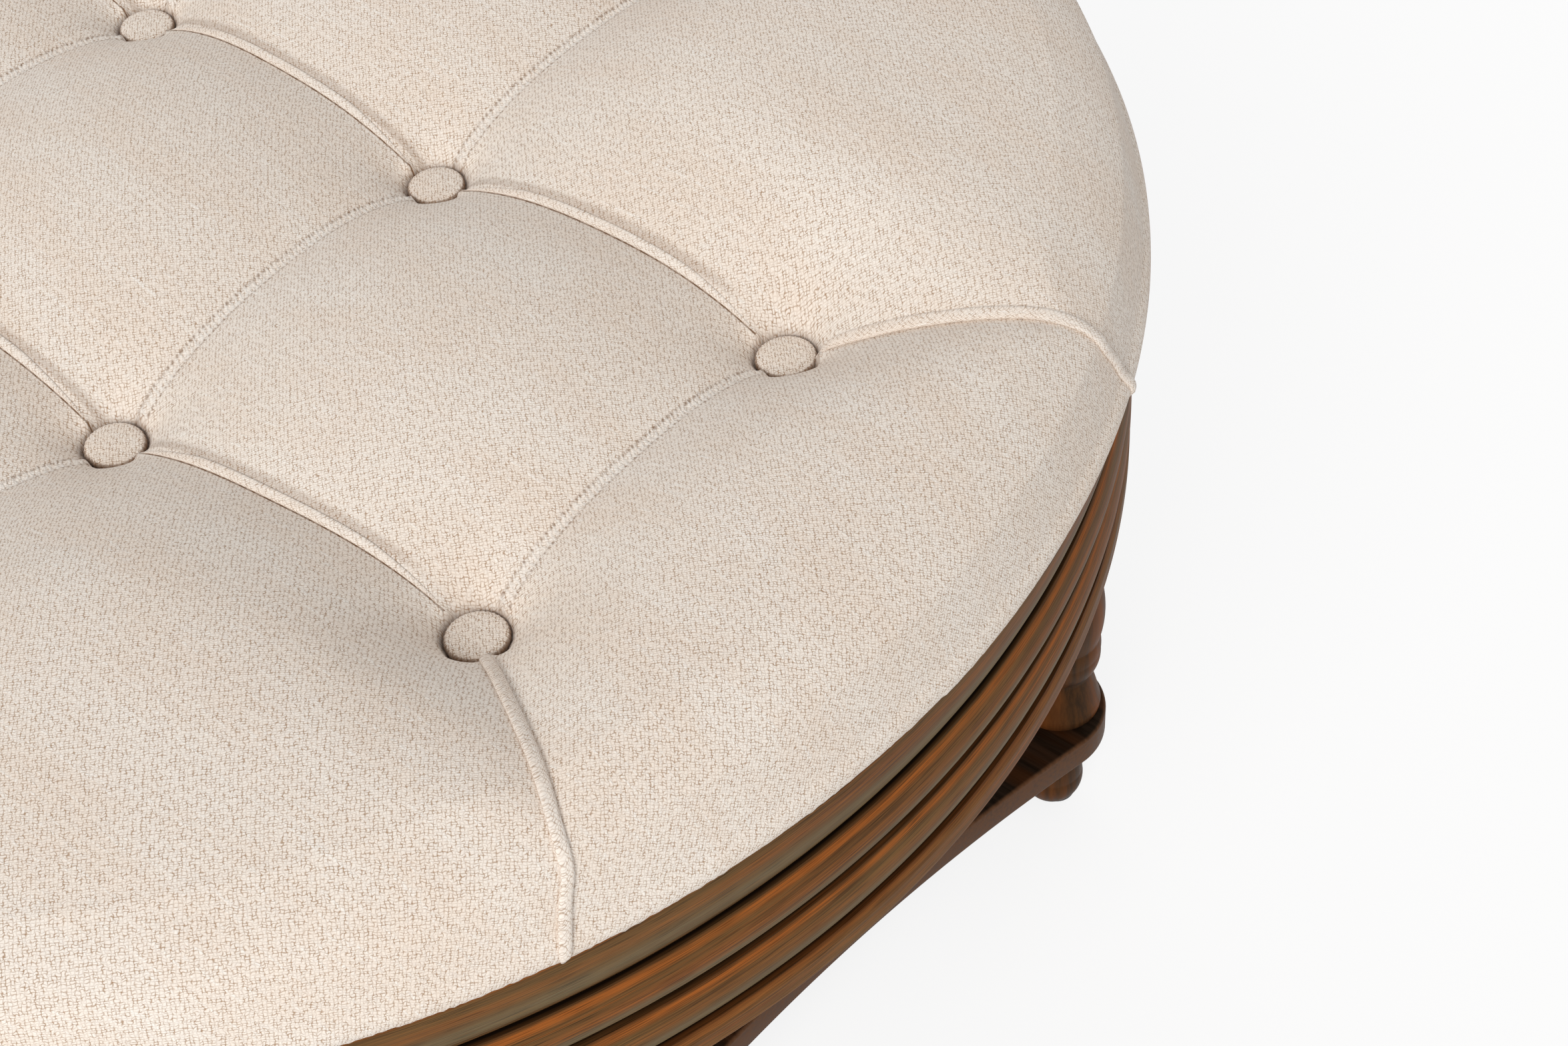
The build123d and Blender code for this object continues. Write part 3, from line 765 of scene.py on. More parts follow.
# Runs the sheet under pressure and gives back how far each point of its grid moved, in millimetres
def pressedCloth():
    c = cloth
    spacing = half * c["gridShare"]
    axis, x, y = planGrid(spacing)
    fixed, _ = heldDown(x, y, spacing)
    radius = np.hypot(x, y)
    envelope = np.interp(radius, profile[:profileTop, 0], profile[:profileTop, 1])
    z = coverHeight(x, y, envelope)
    inside = radius < seatRadius - cushion["footDraw"] - spacing
    moved = np.zeros((3,) + x.shape)
    sheet, points = sheetMesh(x, y, z, inside)
    pins = sheet.vertex_groups.new(name="held")
    pins.add(np.flatnonzero(fixed[inside]).tolist(), 1.0, "REPLACE")
    press = sheet.modifiers.new("press", "CLOTH")
    settings = press.settings
    settings.mass = c["mass"]
    settings.tension_stiffness = settings.compression_stiffness = c["tension"]
    settings.shear_stiffness = c["tension"] / 4
    settings.bending_stiffness = c["bending"]
    settings.use_pressure = True
    settings.uniform_pressure_force = c["pressure"]
    settings.vertex_group_mass = "held"
    settings.effector_weights.gravity = 0.0
    press.collision_settings.use_collision = False
    press.point_cache.frame_start, press.point_cache.frame_end = 1, c["frames"]
    scene = bpy.context.scene
    for frameNumber in range(1, c["frames"] + 1):
        scene.frame_set(frameNumber)
    pressed = sheet.evaluated_get(bpy.context.evaluated_depsgraph_get()).data
    after = np.empty(len(points) * 3, np.float32)
    pressed.vertices.foreach_get("co", after)
    shift = (after.reshape(-1, 3) - points) / mm
    length = np.linalg.norm(shift, axis=1, keepdims=True)
    shift *= c["cap"] / (c["cap"] + length)
    print("cloth pressed: mean shift", round(float(length.mean()), 2), "mm")
    moved[:, inside] = shift.T
    scene.frame_set(1)
    bpy.data.objects.remove(sheet)
    return axis, moved


clothAxis, clothShift = pressedCloth()


# Plan shift of the whole top that brings the buttons in sight to where they are tied
def warp(x, y):
    dx, dy = np.zeros(np.shape(x)), np.zeros(np.shape(x))
    for (a, b), (strayX, strayY) in strays.items():
        near = np.exp(-((x - a) ** 2 + (y - b) ** 2) / (2 * cushion["warpSpread"] ** 2))
        dx, dy = dx + strayX * near, dy + strayY * near
    return dx, dy


# The cover as rows of the profile by angles: relaxed height, cloth's shift, buttons' strays, sagging side
def coverNet():
    c = cushion
    steps = c["steps"]
    angle = np.arange(steps) * tau / steps
    x, y = profile[:, :1] * np.cos(angle), profile[:, :1] * np.sin(angle)
    z = coverHeight(x, y, np.broadcast_to(profile[:, 1:], x.shape))
    top = (np.arange(len(profile)) < profileTop)[:, None]
    fade = top * rise(np.hypot(x, y), seatRadius - c["pressFade"][0], seatRadius - c["pressFade"][1])
    push = [sample(clothAxis, shift, x, y) * fade for shift in clothShift]
    strayX, strayY = warp(x, y)
    hang = rise(profile[:, 1:], c["sagHeight"], 0) * ~top
    sag = hang * ripple(angle * seatRadius, 0 * angle, c["sagLength"], 3) * c["sag"]
    frayed = rise(z - z.min(), c["frayHeight"], 0) * np.random.default_rng(5).normal(0, c["fray"], steps)
    out = sag + frayed
    return np.stack([x + push[0] + strayX * top + np.cos(angle) * out,
                     y + push[1] + strayY * top + np.sin(angle) * out, z + push[2] + apronTop], -1)


net = coverNet()


# Cloth coordinates: the plan, with the radius measured along the cover so that the side isn't stretched
def clothPlan():
    run = np.concatenate([[0], np.cumsum(np.hypot(*np.diff(profile, axis=0).T))]) + profile[0, 0]
    radius = np.where(np.arange(len(profile)) < profileTop, profile[:, 0], 0)
    first = int(rowOfRadius(seatRadius - cushion["sideCloth"]))
    radius[first:] = run[first:] - run[first] + profile[first, 0]
    return radius[:, None, None] * ray(np.arange(cushion["steps"]) * tau / cushion["steps"]) * mm


# A point of the finished cover at a row and a turn, between the net's own points
def coverPoint(row, turn):
    rows, steps, _ = net.shape
    row = np.clip(row, 0, rows - 1.001)
    column = turn / tau * steps % steps
    low, left = np.floor(row).astype(int), np.floor(column).astype(int)
    down, over = (row - low)[..., None], (column - left)[..., None]
    left, right = left % steps, (left + 1) % steps
    near = net[low, left] * (1 - over) + net[low, right] * over
    far = net[low + 1, left] * (1 - over) + net[low + 1, right] * over
    return near * (1 - down) + far * down


# Outward normal of the cover: the cross product of its slopes down the rows and over the turns
def coverNormal(row, turn):
    step = 1.2
    swing = step * tau / cushion["steps"]
    down = coverPoint(row + step, turn) - coverPoint(row - step, turn)
    over = coverPoint(row, turn + swing) - coverPoint(row, turn - swing)
    normal = np.cross(down, over)
    return normal / np.linalg.norm(normal, axis=-1, keepdims=True)


# The recess under the cover: the deck's ring, the foam's side, and a ceiling with a post at every button
recess = {"postRadius": 46.0, "postBlend": 6.0, "rows": 60}


def recessRings(steps):
    gap = table["clearance"]
    deck, foam = deckHigh[0] + gap, foamHigh[0] + gap
    shelfLevel, ceiling = foamLow[2], foamHigh[2] + gap
    circle = ray(np.arange(steps) * tau / steps)
    rings = [(deck, table["cushionBase"]), (deck, shelfLevel), (foam, shelfLevel), (foam, ceiling)]
    walls = [np.column_stack([r * circle, np.full(steps, level)]) for r, level in rings]
    postRadius, blend = recess["postRadius"], recess["postBlend"]
    for r in np.linspace(foam - 2 * blend, 2 * blend, recess["rows"]):
        x, y = (r * circle).T
        away = np.min([np.hypot(x - a, y - b) for a, b in buttonPlaces], axis=0)
        post = rise(away, postRadius, postRadius - blend)
        level = ceiling - (ceiling - shelfLevel) * post * post * (3 - 2 * post)
        walls.append(np.stack([x, y, level], -1))
    return np.array(walls), ceiling


def buildCushion():
    steps = cushion["steps"]
    walls, ceiling = recessRings(steps)
    top = net.reshape(-1, 3)
    middle = [[0, 0, net[0, :, 2].mean()], [0, 0, ceiling]]
    points = np.vstack([top, walls.reshape(-1, 3), middle])
    rows = len(net) + len(walls)
    faces = [gridFaces(rows, steps), fanFaces(len(points) - 2, 0, steps, True),
             fanFaces(len(points) - 1, (rows - 1) * steps, steps, False)]
    faces[0] = faces[0][:, ::-1] if facesInward(points, faces[0]) else faces[0]
    plan = clothPlan().reshape(-1, 2)
    creaseShade = np.zeros(len(points))
    # Painted shade: a dark ring on the cover just round each button, where the cloth dips into the crease
    dark, inset, spread = cushion["buttonCreaseShade"]
    for a, b in buttonPlaces:
        ring = np.hypot(plan[:, 0] / mm - a, plan[:, 1] / mm - b) - table["buttonRadius"]
        creaseShade[:len(plan)] = np.maximum(creaseShade[:len(plan)], dark * np.exp(-((ring + inset) / spread) ** 2))
    uv = np.vstack([plan, np.zeros((len(points) - len(plan), 2))])
    piece = meshPiece("tufted_cover", points, faces, coverFinish, uv,
                      {"creaseShade": creaseShade}, crisp=0)
    bpy.context.view_layer.update()
    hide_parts("tufted_cushion")


# True where the first face of the top, near the middle, looks down
def facesInward(points, quads):
    a, b, c = points[quads[0][0]], points[quads[0][1]], points[quads[0][2]]
    return np.cross(b - a, c - a)[2] < 0


buildCushion()
print("cushion made")


# Folds: a band of doubled cloth between two lines on the cover, its section a flat oval
fold = {
    "seamWidth": 3.8,
    "seamThick": 1.8,
    "seamLift": 0.45,
    "seamGap": 0.2,
    "seamTaper": (0.24, 0.03, 0.8),
    "pleatWidth": 5.2,
    "pleatThick": 2.6,
    "pleatLift": 0.9,
    "pleatTaper": (0.05, 0.3, 0.5),
    "pleatEnd": (0.03, 0.4, 1.0),
    "flat": 0.75,
    "under": (0.35, -0.6),
    "tuck": 1.0,
    "smoothing": 4,
    "steps": 110,
    "around": 20,
}


# Each inner point of a path moved to the mean of itself and its two neighbours, several times
def smoothed(points, times):
    for _ in range(times):
        points[1:-1] = (points[:-2] + points[1:-1] + points[2:]) / 3
    return points


# Near and far are rows and turns along the two edges; swell shrinks the section towards its ends
def foldPiece(name, near, far, thick, lift, swell):
    inner = smoothed(coverPoint(*near), fold["smoothing"])
    outer = smoothed(coverPoint(*far), fold["smoothing"])
    path = (inner + outer) / 2
    sideways = (outer - inner) / 2
    normal = smoothed(coverNormal((near[0] + far[0]) / 2, (near[1] + far[1]) / 2), fold["smoothing"])
    upright = np.cross(np.gradient(path, axis=0), sideways)
    upright *= np.sign((upright * normal).sum(1, keepdims=True))
    upright /= np.linalg.norm(upright, axis=1, keepdims=True)
    count = fold["around"]
    turn = np.arange(count) * tau / count
    wide = np.sign(np.cos(turn)) * np.abs(np.cos(turn)) ** fold["flat"]
    high = np.sin(turn)
    ring = path[:, None] + sideways[:, None] * wide[None, :, None]
    ring = ring + upright[:, None] * (swell[:, None, None] * (thick / 2 * high[None, :, None] + lift))
    end = np.arange(count)[None]
    faces = [gridFaces(len(path), count), end[:, ::-1], (len(path) - 1) * count + end]
    along = np.gradient(path, axis=0)
    if (np.cross(along, sideways) * upright).sum() > 0:
        faces = [group[:, ::-1] for group in faces]
    length = np.concatenate([[0], np.cumsum(np.linalg.norm(np.diff(path, axis=0), axis=1))])
    cross = np.linalg.norm(sideways, axis=1)[:, None] * wide + thick * high
    uv = np.stack(np.broadcast_arrays(length[:, None], cross), -1).reshape(-1, 2) * mm
    # Painted shade on the underside of the band, where it faces the cover
    dark, level = fold["under"]
    edge = np.tile(dark * np.clip(level - high, 0, 1), len(path))
    meshPiece(name, ring.reshape(-1, 3), faces, foldFinish, uv, {"creaseShade": edge}, crisp=0)


# Rows and turns of the cover's net under points in plan
def planLine(x, y):
    return rowOfRadius(np.hypot(x, y)), np.unwrap(np.arctan2(y, x))


# A section's size along its run, from its least share at an end to full over the taper's run
def tapered(share, taper):
    run, least, power = taper
    return np.clip(share / run, least, 1) ** power


def buildFolds():
    gap = table["buttonRadius"] - fold["tuck"]
    share = np.linspace(0, 1, fold["steps"])
    for number, (line, span) in enumerate(seams(), 1):
        swell = tapered(np.minimum(share, 1 - share), fold["seamTaper"])
        x = (span - 1) * half + gap + share * (2 * half - 2 * gap)
        y = line * half + fold["seamGap"]
        near = planLine(x, np.full(len(x), y))
        far = planLine(x, y + fold["seamWidth"] * swell)
        foldPiece(f"seam_fold_{number}", near, far, fold["seamThick"], fold["seamLift"], swell)
    for number, (rows, turns, side) in enumerate(pleats, 1):
        swell = tapered(share, fold["pleatTaper"]) * tapered(1 - share, fold["pleatEnd"])
        first = rowOfRadius(pleatCourse["radii"][0] + gap)
        at = first + share * (len(profile) - 1 - first)
        radius = np.interp(at, np.arange(len(profile)), profile[:, 0])
        turn = np.interp(at, rows, turns)
        far = turn + side * fold["pleatWidth"] * swell / radius
        foldPiece(f"pleat_fold_{number}", (at, turn), (at, far), fold["pleatThick"], fold["pleatLift"], swell)


buildFolds()
print("folds made")


# Buttons: a low dome on a rounded edge, the cloth gathered into small radial pleats where it turns under
button = {
    "sink": 1.5,
    "edge": 4.2,
    "height": 7.2,
    "underCut": 2.2,
    "clearance": 0.2,
    "bulge": 0.35,
    "shoulder": (1.0, 1.5),
    "domeShares": (0.74, 0.4),
    "domeDrops": (0.7, 0.15),
    "pole": 0.4,
    "gathers": 34,
    "gatherDepth": 0.22,
    "gatherSpread": 2.0,
    "oval": 0.012,
    "tilt": 0.03,
    "shadeRun": 1.7,
    "shadeTop": 1.3,
    "shade": 0.9,
    "steps": 96,
}


def buildButtons():
    c = button
    base = table["buttonBase"]
    low, top = base - c["sink"], base + c["height"]
    edge = base + c["edge"]
    r = table["buttonRadius"] - c["clearance"]
    (wideShare, narrowShare), (wideDrop, narrowDrop) = c["domeShares"], c["domeDrops"]
    dome = outline(
        (c["pole"], low),
        (r - c["underCut"], low),
        ((r - c["bulge"], (low + edge) / 2), (r, edge)),
        ((r - c["shoulder"][0], edge + c["shoulder"][1]), (r * wideShare, top - wideDrop)),
        ((r * narrowShare, top - narrowDrop), (c["pole"], top)),
        spacing=0.5)
    for number, (a, b) in enumerate(buttonPlaces, 1):
        points, faces = turnedMesh(dome, c["steps"])
        angle = np.arctan2(points[:, 1], points[:, 0])
        radius = np.hypot(points[:, 0], points[:, 1])
        rim = np.exp(-((radius - r) / c["gatherSpread"]) ** 2)
        grow = 1 + rim * c["gatherDepth"] * np.sin(angle * c["gathers"] + number) / r
        grow += c["oval"] * np.sin(2 * angle + number)
        tilt = c["tilt"] * math.sin(number * 2.3)
        uv = points[:, :2] * mm + number * 0.05
        strayX, strayY = warp(np.array(a, float), np.array(b, float))
        plan = points[:, :2] * grow[:, None] + (a + float(strayX), b + float(strayY))
        body = np.column_stack([plan, points[:, 2] + points[:, 0] * tilt])
        # Painted shade: the button's lower rim darkened where it meets the cover
        creaseShade = c["shade"] * rise(radius, r - c["shadeRun"], r) * (points[:, 2] < edge + c["shadeTop"])
        piece = meshPiece(f"covered_button_{number}", body, faces, buttonFinish, uv,
                          {"creaseShade": creaseShade}, crisp=0)
        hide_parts(f"tuft_button_{number}")


buildButtons()
print("buttons made")


# Apron rails: three reeds over a fillet. Each reed swells from its top arris to its crest and falls back to
# its lower edge, where a narrow quirk parts it from the ledge of the next. Draws count inwards.
apron = {
    "setback": 5.3,
    "reedHeights": (36.0, 26.0, 24.4),
    "crestShares": (0.4, 0.35, 0.35),
    "arrisDraws": (1.5, 3.9, 2.9, 1.8),
    "edgeDraws": (6.0, 6.2, 4.5),
    "quirkWidth": 0.9,
    "quirkDepth": 3.0,
    "ledgeSink": 0.5,
    "filletArris": 3.5,
    "filletRound": 2.0,
    "thickness": 41.0,
    "rebateWall": 14.0,
    "rebateDepth": 11.0,
    "faceDepth": 12.0,
    "stepsPerRail": 220,
    "waver": 0.12,
    "waverLength": 70.0,
    "waverEnds": 1 / 12,
}
apronRadius = seatRadius - apron["setback"]

# Wear, painted sheen and painted shade on a reed, by the share of its height from the top: where each lies,
# how far it spreads, how strong
reedWearSheenShade = {
    "rubbed": (0.08, 0.06, 0.8),
    "crest": (0.36, 0.08, 0.3),
    "paintedSheen": (0.7, 0.17),
    "shade": (0.88, 0.96),
    "underLedge": 0.035,
    "shadow": 0.6,
    "lipShade": (1.56, 0.26, 0.7),
    "ledge": (1.5, 1.0),
    "fillet": (0.25, 0.7),
    "filletWear": (0.6, 0.45),
}


# The section as a closed outline, with each reed's top and height, and the level of the fillet's top
def apronSection():
    a = apron
    level = apronTop
    steps, bands = [], []
    reeds = zip(a["reedHeights"], a["crestShares"], a["edgeDraws"], a["arrisDraws"][1:])
    for height, share, edgeDraw, nextDraw in reeds:
        edge = apronRadius - edgeDraw
        bands.append((level, height))
        crest = (apronRadius, level - height * share)
        level -= height
        steps.append((crest, (edge, level + a["quirkWidth"])))
        steps.append((edge - a["quirkDepth"], level + a["quirkWidth"]))
        steps.append((edge - a["quirkDepth"], level))
        steps.append((apronRadius - nextDraw, level))
    bottom = table["apronBase"]
    corner = a["filletRound"] * (1 - math.sqrt(0.5))
    steps.append((apronRadius, level - a["filletArris"]))
    steps.append((apronRadius, bottom + a["filletRound"]))
    steps.append(((apronRadius - corner, bottom + corner), (apronRadius - a["filletRound"], bottom)))
    inner = apronRadius - a["thickness"]
    rebate = apronRadius - a["rebateWall"]
    first = (apronRadius - a["arrisDraws"][0], apronTop)
    steps += [(inner, bottom), (inner, apronTop - a["rebateDepth"]), (rebate, apronTop - a["rebateDepth"]),
              (rebate, apronTop), first]
    return outline(first, *steps, spacing=0.7)[:-1], bands, level


# Marks along the section: wear on each crest, a painted sheen below it, painted shade in and about each quirk
def reedMarks(section, bands, filletTop):
    t = reedWearSheenShade
    draw, z = apronRadius - section[:, 0], section[:, 1]
    outer = draw < apron["faceDepth"]
    wear, paintedSheen, quirk = np.zeros((3, len(z)))

    def bell(value, middle, spread, power=2):
        return np.exp(-np.abs((value - middle) / spread) ** power)

    for (top, height), edgeDraw in zip(bands, apron["edgeDraws"]):
        share = (top - z) / height
        inside = (share >= 0) & (share <= 1) & outer
        lower = top < apronTop
        rubbed = lower * t["rubbed"][2] * bell(share, *t["rubbed"][:2])
        crest = t["crest"][2] * bell(share, *t["crest"][:2])
        wear = np.where(inside, rubbed + crest, wear)
        paintedSheen = np.where(inside, bell(share, *t["paintedSheen"], 4), paintedSheen)
        lowerEdge = top - height + apron["quirkWidth"]
        # Painted shade: dark at the foot of each lower reed's flank and just under its top, a dark line at
        # every lip, the ledge under it darkened
        shadow = lower * np.maximum(rise(share, *t["shade"]), bell(share, 0, t["underLedge"]))
        lipShade = t["lipShade"][2] * outer * rise(np.abs(z - lowerEdge), *t["lipShade"][:2])
        quirk = np.maximum.reduce([quirk, t["shadow"] * inside * shadow, lipShade])
        ledge = outer & (z < lowerEdge) & (z > top - height - apron["ledgeSink"])
        behind = rise(draw, edgeDraw - t["ledge"][0], edgeDraw - t["ledge"][1])
        quirk = np.maximum(quirk * (1 - ledge), ledge * behind)
    # Painted shade just under the fillet's top arris
    fillet = outer & (z <= filletTop)
    below = rise(z, filletTop, filletTop - apron["filletArris"])
    quirk = np.maximum(quirk, t["fillet"][1] * fillet * bell(below, 0, t["fillet"][0]))
    wear = np.where(fillet, t["filletWear"][0] - t["filletWear"][1] * below, wear)
    return wear, paintedSheen, quirk


def buildRails():
    section, bands, filletTop = apronSection()
    marks = dict(zip(("wear", "paintedSheen", "quirk"), reedMarks(section, bands, filletTop)))
    rows, across = apron["stepsPerRail"] + 1, len(section)
    share = np.linspace(0, 1, rows)
    outer = apronRadius - apron["faceDepth"]
    for number, first in enumerate(jointAngles, 1):
        angle = np.radians(first + share * 90)[:, None]
        radius = np.broadcast_to(section[:, 0], (rows, across)).copy()
        z = np.broadcast_to(section[:, 1], radius.shape)
        face = rise(radius, outer, outer + apron["faceDepth"] / 2)
        ends = rise(np.minimum(share, 1 - share), 0, apron["waverEnds"])[:, None]
        wave = ripple(angle * seatRadius, z * 6, apron["waverLength"], number)
        radius += face * ends * apron["waver"] * wave
        points = np.dstack([radius[..., None] * ray(angle), z]).reshape(-1, 3)
        end = np.arange(across)
        faces = [gridFaces(rows, across)[:, ::-1], end[None], (rows - 1) * across + end[::-1][None]]
        values = {key: np.tile(mark, rows) for key, mark in marks.items()}
        piece = meshPiece(f"reeded_rail_{number}", points, faces, apronFinish, values=values)
        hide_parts(f"apron_rail_{number}")


buildRails()
print("apron made")


# Legs and feet: turned profiles, radius against height, as lines and arcs; shade is painted dark in their
# grooves
legTurning = {
    "neck": 18.0,
    "bead": 23.0,
    "vase": 23.0,
    "vaseNeck": 15.0,
    "collar": 24.0,
    "ring": 22.0,
    "groove": 1.4,
    "collarHollow": 0.7,
    "steps": 96,
    "bell": (((22.3, 3.0), (21.6, 7.0)), ((19.4, 16.5), (16.6, 26.5)), (16.6, 28.5), (18.0, 30.0),
             ((21.1, 37.5), (21.4, 44.0)), ((21.5, 49.5), (20.8, 54.0))),
    "bellBase": 21.6,
    "shares": {"bead": 0.345, "cove": 0.375, "belly": 0.52, "vase": 0.86, "astragal": 0.90, "collar": 0.935},
    "beadMiddle": 0.268,
}
footTurning = {
    "ball": 16.3,
    "floor": 11.2,
    "neck": 11.0,
    "collar": 15.0,
    "collarHeight": 6.0,
    "round": 1.8,
    "heel": (14.9, 5.4),
    "ballHeight": 18.0,
    "waist": (15.3, 30.0),
    "neckShare": 0.78,
    "cove": 0.25,
    "inset": 2.5,
}
grooveShadeSize = {"reach": 7.0, "depth": 6.0, "dark": 0.55}


def legProfile():
    t = legTurning
    s = t["shares"]
    low = table["shelfTop"]
    length = table["apronBase"] - low

    def at(share):
        return low + length * share

    def up(step):  # a line's or an arc's points, raised by the level of the shelf's top
        if isinstance(step[0], tuple):
            return tuple(up(point) for point in step)
        return step[0], low + step[1]

    g = t["groove"]
    return outline(
        (0.3, low), (t["bellBase"], low),
        *[up(step) for step in t["bell"]],
        ((t["bead"], at(t["beadMiddle"])), (t["bead"] - 2 * g, at(s["bead"]))),
        (t["neck"] - g, at(s["bead"])),
        ((t["neck"] - 2 * g, at((s["bead"] + s["cove"]) / 2)), (t["neck"], at(s["cove"]))),
        ((t["vase"], at(s["belly"])), (t["vaseNeck"], at(s["vase"]))),
        (t["ring"] - g, at(s["vase"])),
        ((t["ring"], at((s["vase"] + s["astragal"]) / 2)), (t["ring"] - g, at(s["astragal"]))),
        (t["neck"], at(s["astragal"])),
        ((t["neck"] + g, at(s["astragal"] + (s["collar"] - s["astragal"]) * t["collarHollow"])),
         (t["collar"], at(s["collar"]))),
        (t["collar"], table["apronBase"]), (0.3, table["apronBase"]),
        spacing=0.9)


def footProfile():
    t = footTurning
    low = table["footBase"]
    high = table["shelfBase"]
    span = high - low
    collarLow = high - t["collarHeight"]
    neck = low + span * t["neckShare"]
    edge = t["collar"] - t["round"]
    return outline(
        (0.3, low), (t["floor"], low),
        ((t["heel"][0], low + t["heel"][1]), (t["ball"], low + t["ballHeight"])),
        ((t["waist"][0], low + t["waist"][1]), (t["neck"], neck)),
        ((t["neck"] + (edge - t["neck"]) * t["cove"], (neck + collarLow) / 2), (edge, collarLow)),
        ((t["collar"], (collarLow + high) / 2), (edge, high)),
        (0.3, high), spacing=0.7)


# Painted shade in the grooves of a turning, by how far each point lies inside the widest radius near it
def grooveShade(points, centre):
    t = grooveShadeSize
    radius = np.hypot(points[:, 0] - centre[0], points[:, 1] - centre[1])
    z = points[:, 2]
    levels = np.unique(np.round(z, 3))
    widest = np.array([radius[np.abs(z - level) < t["reach"]].max() for level in levels])
    hidden = np.interp(z, levels, widest) - radius
    return t["dark"] * rise(hidden, 0, t["depth"])


def buildTurnings():
    turnings = (
        ("turned_leg", "leg", legProfile(), 0),
        ("turned_foot", "bun_foot", footProfile(), footTurning["inset"]))
    for number, angle in enumerate(legAngles, 1):
        for name, node, section, inset in turnings:
            axis = (table["legAxisRadius"] - inset) * ray(math.radians(angle))
            points, faces = turnedMesh(section, legTurning["steps"], axis)
            piece = meshPiece(f"{name}_{number}", points, faces, legFinish,
                              values={"quirk": grooveShade(points, axis)})
            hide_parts(f"{node}_{number}")


buildTurnings()
print("legs and feet made")


# Shelf: rounds near the legs joined by hollow sides, the rounded edge carried round the outline
shelf = {
    "corner": 36.2,
    "inset": 11.15,
    "hollow": 31.85,
    "edge": 2.0,
    "edgeSteps": 7,
    "middleShare": 0.8,
    "faceShade": 0.25,
    "edgeBand": (1.6, 0.4),
    "sideSteps": 90,
    "cornerSteps": 28,
}


# Points round the board and their outward directions, one quarter turned four times
def shelfOutline():
    s = shelf
    corner = (table["legAxisRadius"] - s["inset"]) * math.sqrt(0.5)
    sideCentre = corner + (corner ** 2 - s["hollow"] ** 2) / (2 * s["hollow"])
    reach = math.hypot(sideCentre - corner, corner)
    sideRadius = reach - s["corner"]
    swing = math.atan2(corner, sideCentre - corner)
    side = np.linspace(math.pi + swing, math.pi - swing, s["sideSteps"])
    end = np.linspace(-swing, math.pi / 2 + swing, s["cornerSteps"])[1:-1]
    path = np.vstack([np.array([sideCentre, 0]) + sideRadius * ray(side), corner + s["corner"] * ray(end)])
    normal = np.vstack([-ray(side), ray(end)])
    turns = [np.array([ray(q), ray(q + tau / 4)]) for q in np.arange(4) * tau / 4]
    return np.vstack([path @ turn for turn in turns]), np.vstack([normal @ turn for turn in turns])


def buildShelf():
    s = shelf
    path, normal = shelfOutline()
    e = s["edge"]
    low, high = table["shelfBase"], table["shelfTop"]
    turnUp = np.radians(np.linspace(-90, 0, s["edgeSteps"]))
    turnOver = np.radians(np.linspace(0, 90, s["edgeSteps"]))
    inset = np.concatenate([[e], e - e * np.cos(turnUp), e - e * np.cos(turnOver), [e]])
    level = np.concatenate([[low], low + e + e * np.sin(turnUp), high - e + e * np.sin(turnOver), [high]])
    shrink = np.ones(len(level))
    shrink[[0, -1]] = s["middleShare"]
    rings = (path[None] - normal[None] * inset[:, None, None]) * shrink[:, None, None]
    z = np.broadcast_to(level[:, None], rings.shape[:2])
    grid = np.dstack([rings, z]).reshape(-1, 3)
    points = np.vstack([grid, [[0, 0, low], [0, 0, high]]])
    count = len(path)
    faces = [gridFaces(len(level), count), fanFaces(len(grid), 0, count, False),
             fanFaces(len(grid) + 1, (len(level) - 1) * count, count, True)]
    # Painted light: the board's faces are painted darker as shade, its rounded edge paler as the lit edge
    side = rise(inset, *s["edgeBand"])
    side[[0, -1]] = 0
    side = np.append(np.repeat(side, count), [0, 0])
    values = {"quirk": s["faceShade"] * (1 - side), "edge": side}
    piece = meshPiece("shelf_board", points, faces, shelfFinish, values=values)
    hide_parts("lower_shelf")


buildShelf()
print("shelf made")


# Floor, light and camera
# The floor glows white to the eye; its matt share keeps the shadow of the table
stage = {
    "size": 6.0,
    "floor": (243, 243, 243),
    "glow": 1.04,
    "glowShare": 0.8,
    "worldSeen": 0.978,
    "worldLight": 0.56,
    "keyPlace": (2.28, -5.64, 4.75),
    "keySize": 3.4,
    "keyPower": 300.0,
    "fillPlace": (-1.8, 1.2, 2.2),
    "fillSize": 2.0,
    "fillPower": 4.0,
    "target": (0.0, 0.0, 0.48),
}


def buildStage():
    f = Finish("pale_floor")
    white = f.node("ShaderNodeBsdfDiffuse", {}, {"Color": paint(*stage["floor"])})
    glow = f.node("ShaderNodeEmission", {}, {"Color": paint(255, 255, 255), "Strength": stage["glow"]})
    kinds = ("Is Camera Ray", "Is Glossy Ray", "Is Transmission Ray")
    seen, glossy, through = (f.node("ShaderNodeLightPath", output=kind) for kind in kinds)
    share = (seen + glossy + through).smaller(1.0) * stage["glowShare"]
    shader = f.node("ShaderNodeMixShader", {}, {0: share, 1: white, 2: glow})
    f.node("ShaderNodeOutputMaterial", {}, {"Surface": shader})
    size = stage["size"]
    mesh = bpy.data.meshes.new("floor")
    corners = [(-size, -size, 0), (size, -size, 0), (size, size, 0), (-size, size, 0)]
    mesh.from_pydata(corners, [], [(0, 1, 2, 3)])
    mesh.materials.append(f.material)
    addObject("floor", mesh)


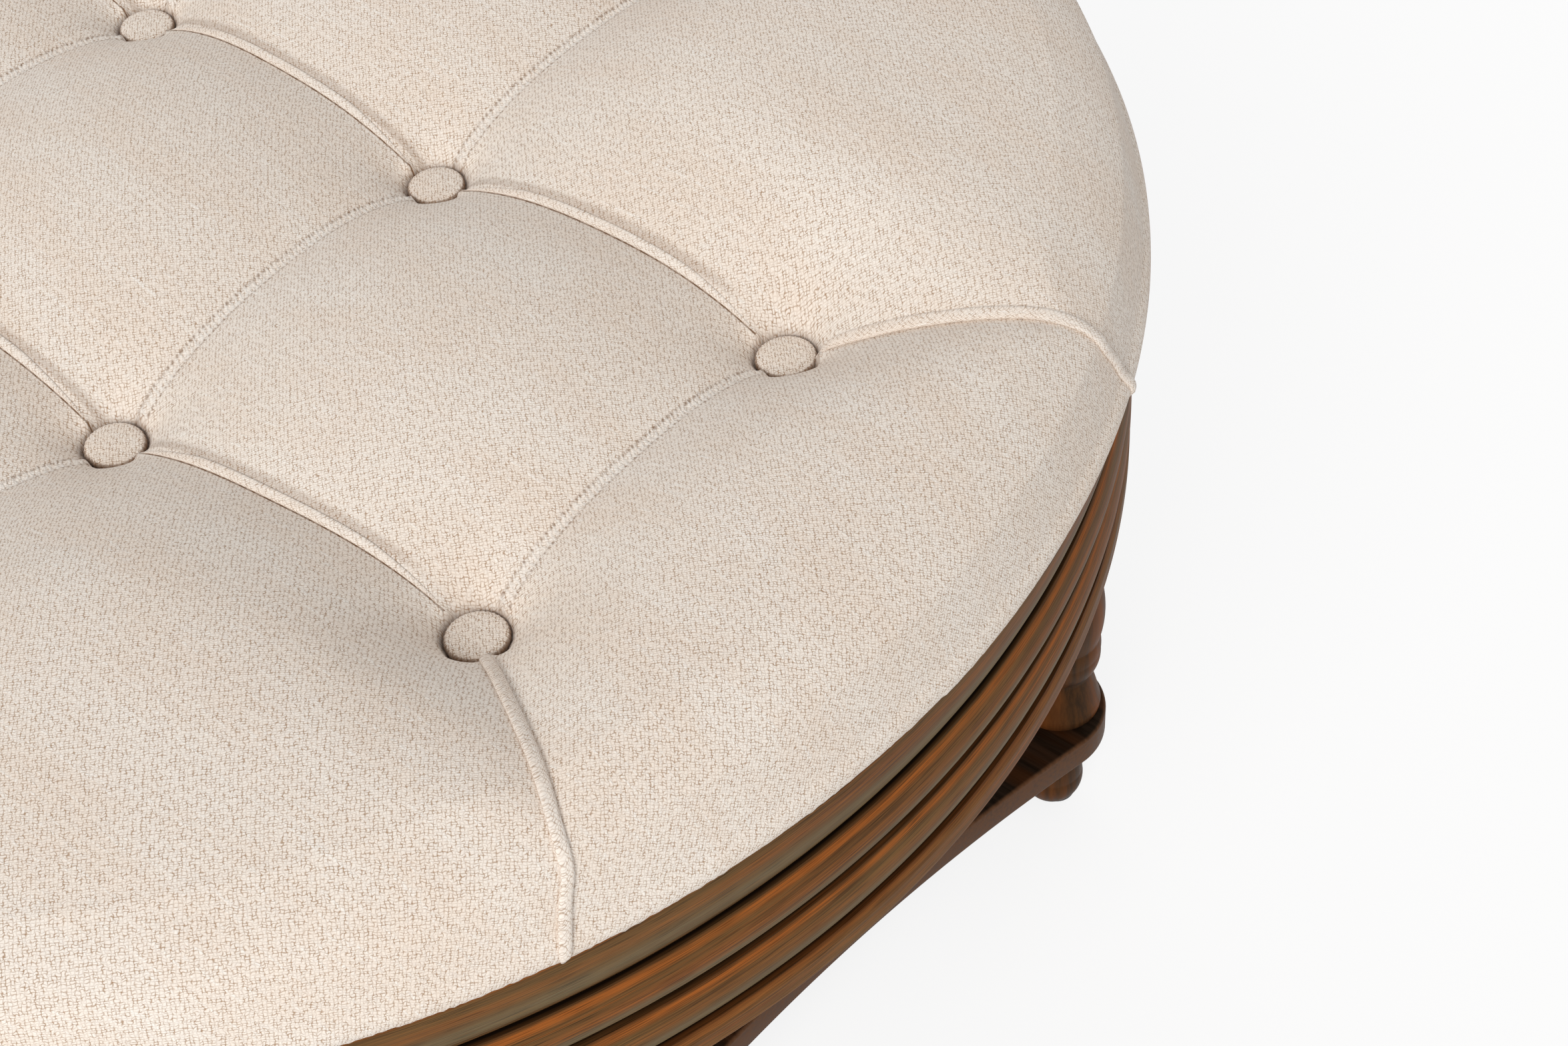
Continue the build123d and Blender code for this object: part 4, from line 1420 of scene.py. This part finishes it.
# A round lamp that looks at the seat, with its place, size and power under its name in the dictionary
def areaLight(name, colour):
    light = bpy.data.lights.new(name, "AREA")
    light.shape = "DISK"
    light.size = stage[name + "Size"]
    light.energy = stage[name + "Power"]
    light.color = colour
    lamp = addObject(name, light)
    lamp.location = stage[name + "Place"]
    lamp.rotation_euler = (Vector(stage["target"]) - lamp.location).to_track_quat("-Z", "Y").to_euler()


def buildLight():
    world = bpy.data.worlds.new("studio")
    bpy.context.scene.world = world
    world.use_nodes = True
    tree = world.node_tree
    tree.nodes.clear()
    back = tree.nodes.new("ShaderNodeBackground")
    seen = tree.nodes.new("ShaderNodeLightPath")
    strength = tree.nodes.new("ShaderNodeMapRange")
    strength.inputs["To Min"].default_value = stage["worldLight"]
    strength.inputs["To Max"].default_value = stage["worldSeen"]
    out = tree.nodes.new("ShaderNodeOutputWorld")
    back.inputs["Color"].default_value = (1.0, 1.0, 1.0, 1.0)
    tree.links.new(seen.outputs["Is Camera Ray"], strength.inputs["Value"])
    tree.links.new(strength.outputs[0], back.inputs["Strength"])
    tree.links.new(back.outputs[0], out.inputs["Surface"])
    areaLight("key", (1.0, 0.975, 0.945))
    areaLight("fill", (0.95, 0.97, 1.0))


# The camera stands where lines of the seat, apron, legs and shelf meet their pixels in the photograph
view = {
    "place": (0.8255, -0.5185, 1.2133),
    "yaw": 131.906,
    "pitch": 45.877,
    "roll": -4.49,
    "focalPixels": 4204.0,
    "imageWidth": 2350.0,
    "sensor": 36.0,
}


def buildCamera():
    yaw, pitch, roll = (math.radians(view[key]) for key in ("yaw", "pitch", "roll"))
    forward = Vector((math.cos(yaw) * math.cos(pitch), math.sin(yaw) * math.cos(pitch), -math.sin(pitch)))
    level = forward.cross(Vector((0, 0, 1))).normalized()
    upright = level.cross(forward)
    right = math.cos(roll) * level + math.sin(roll) * upright
    up = -math.sin(roll) * level + math.cos(roll) * upright
    lens = bpy.data.cameras.new("photo_view")
    lens.sensor_width = view["sensor"]
    lens.lens = view["focalPixels"] / view["imageWidth"] * view["sensor"]
    lens.clip_start = 0.05
    camera = addObject("photo_view", lens)
    turn = Matrix((right, up, -forward)).transposed().to_4x4()
    camera.matrix_world = Matrix.Translation(view["place"]) @ turn
    bpy.context.scene.camera = camera


buildStage()
buildLight()
buildCamera()
bpy.context.scene.view_settings.view_transform = "Standard"
print("stage, light and camera made")
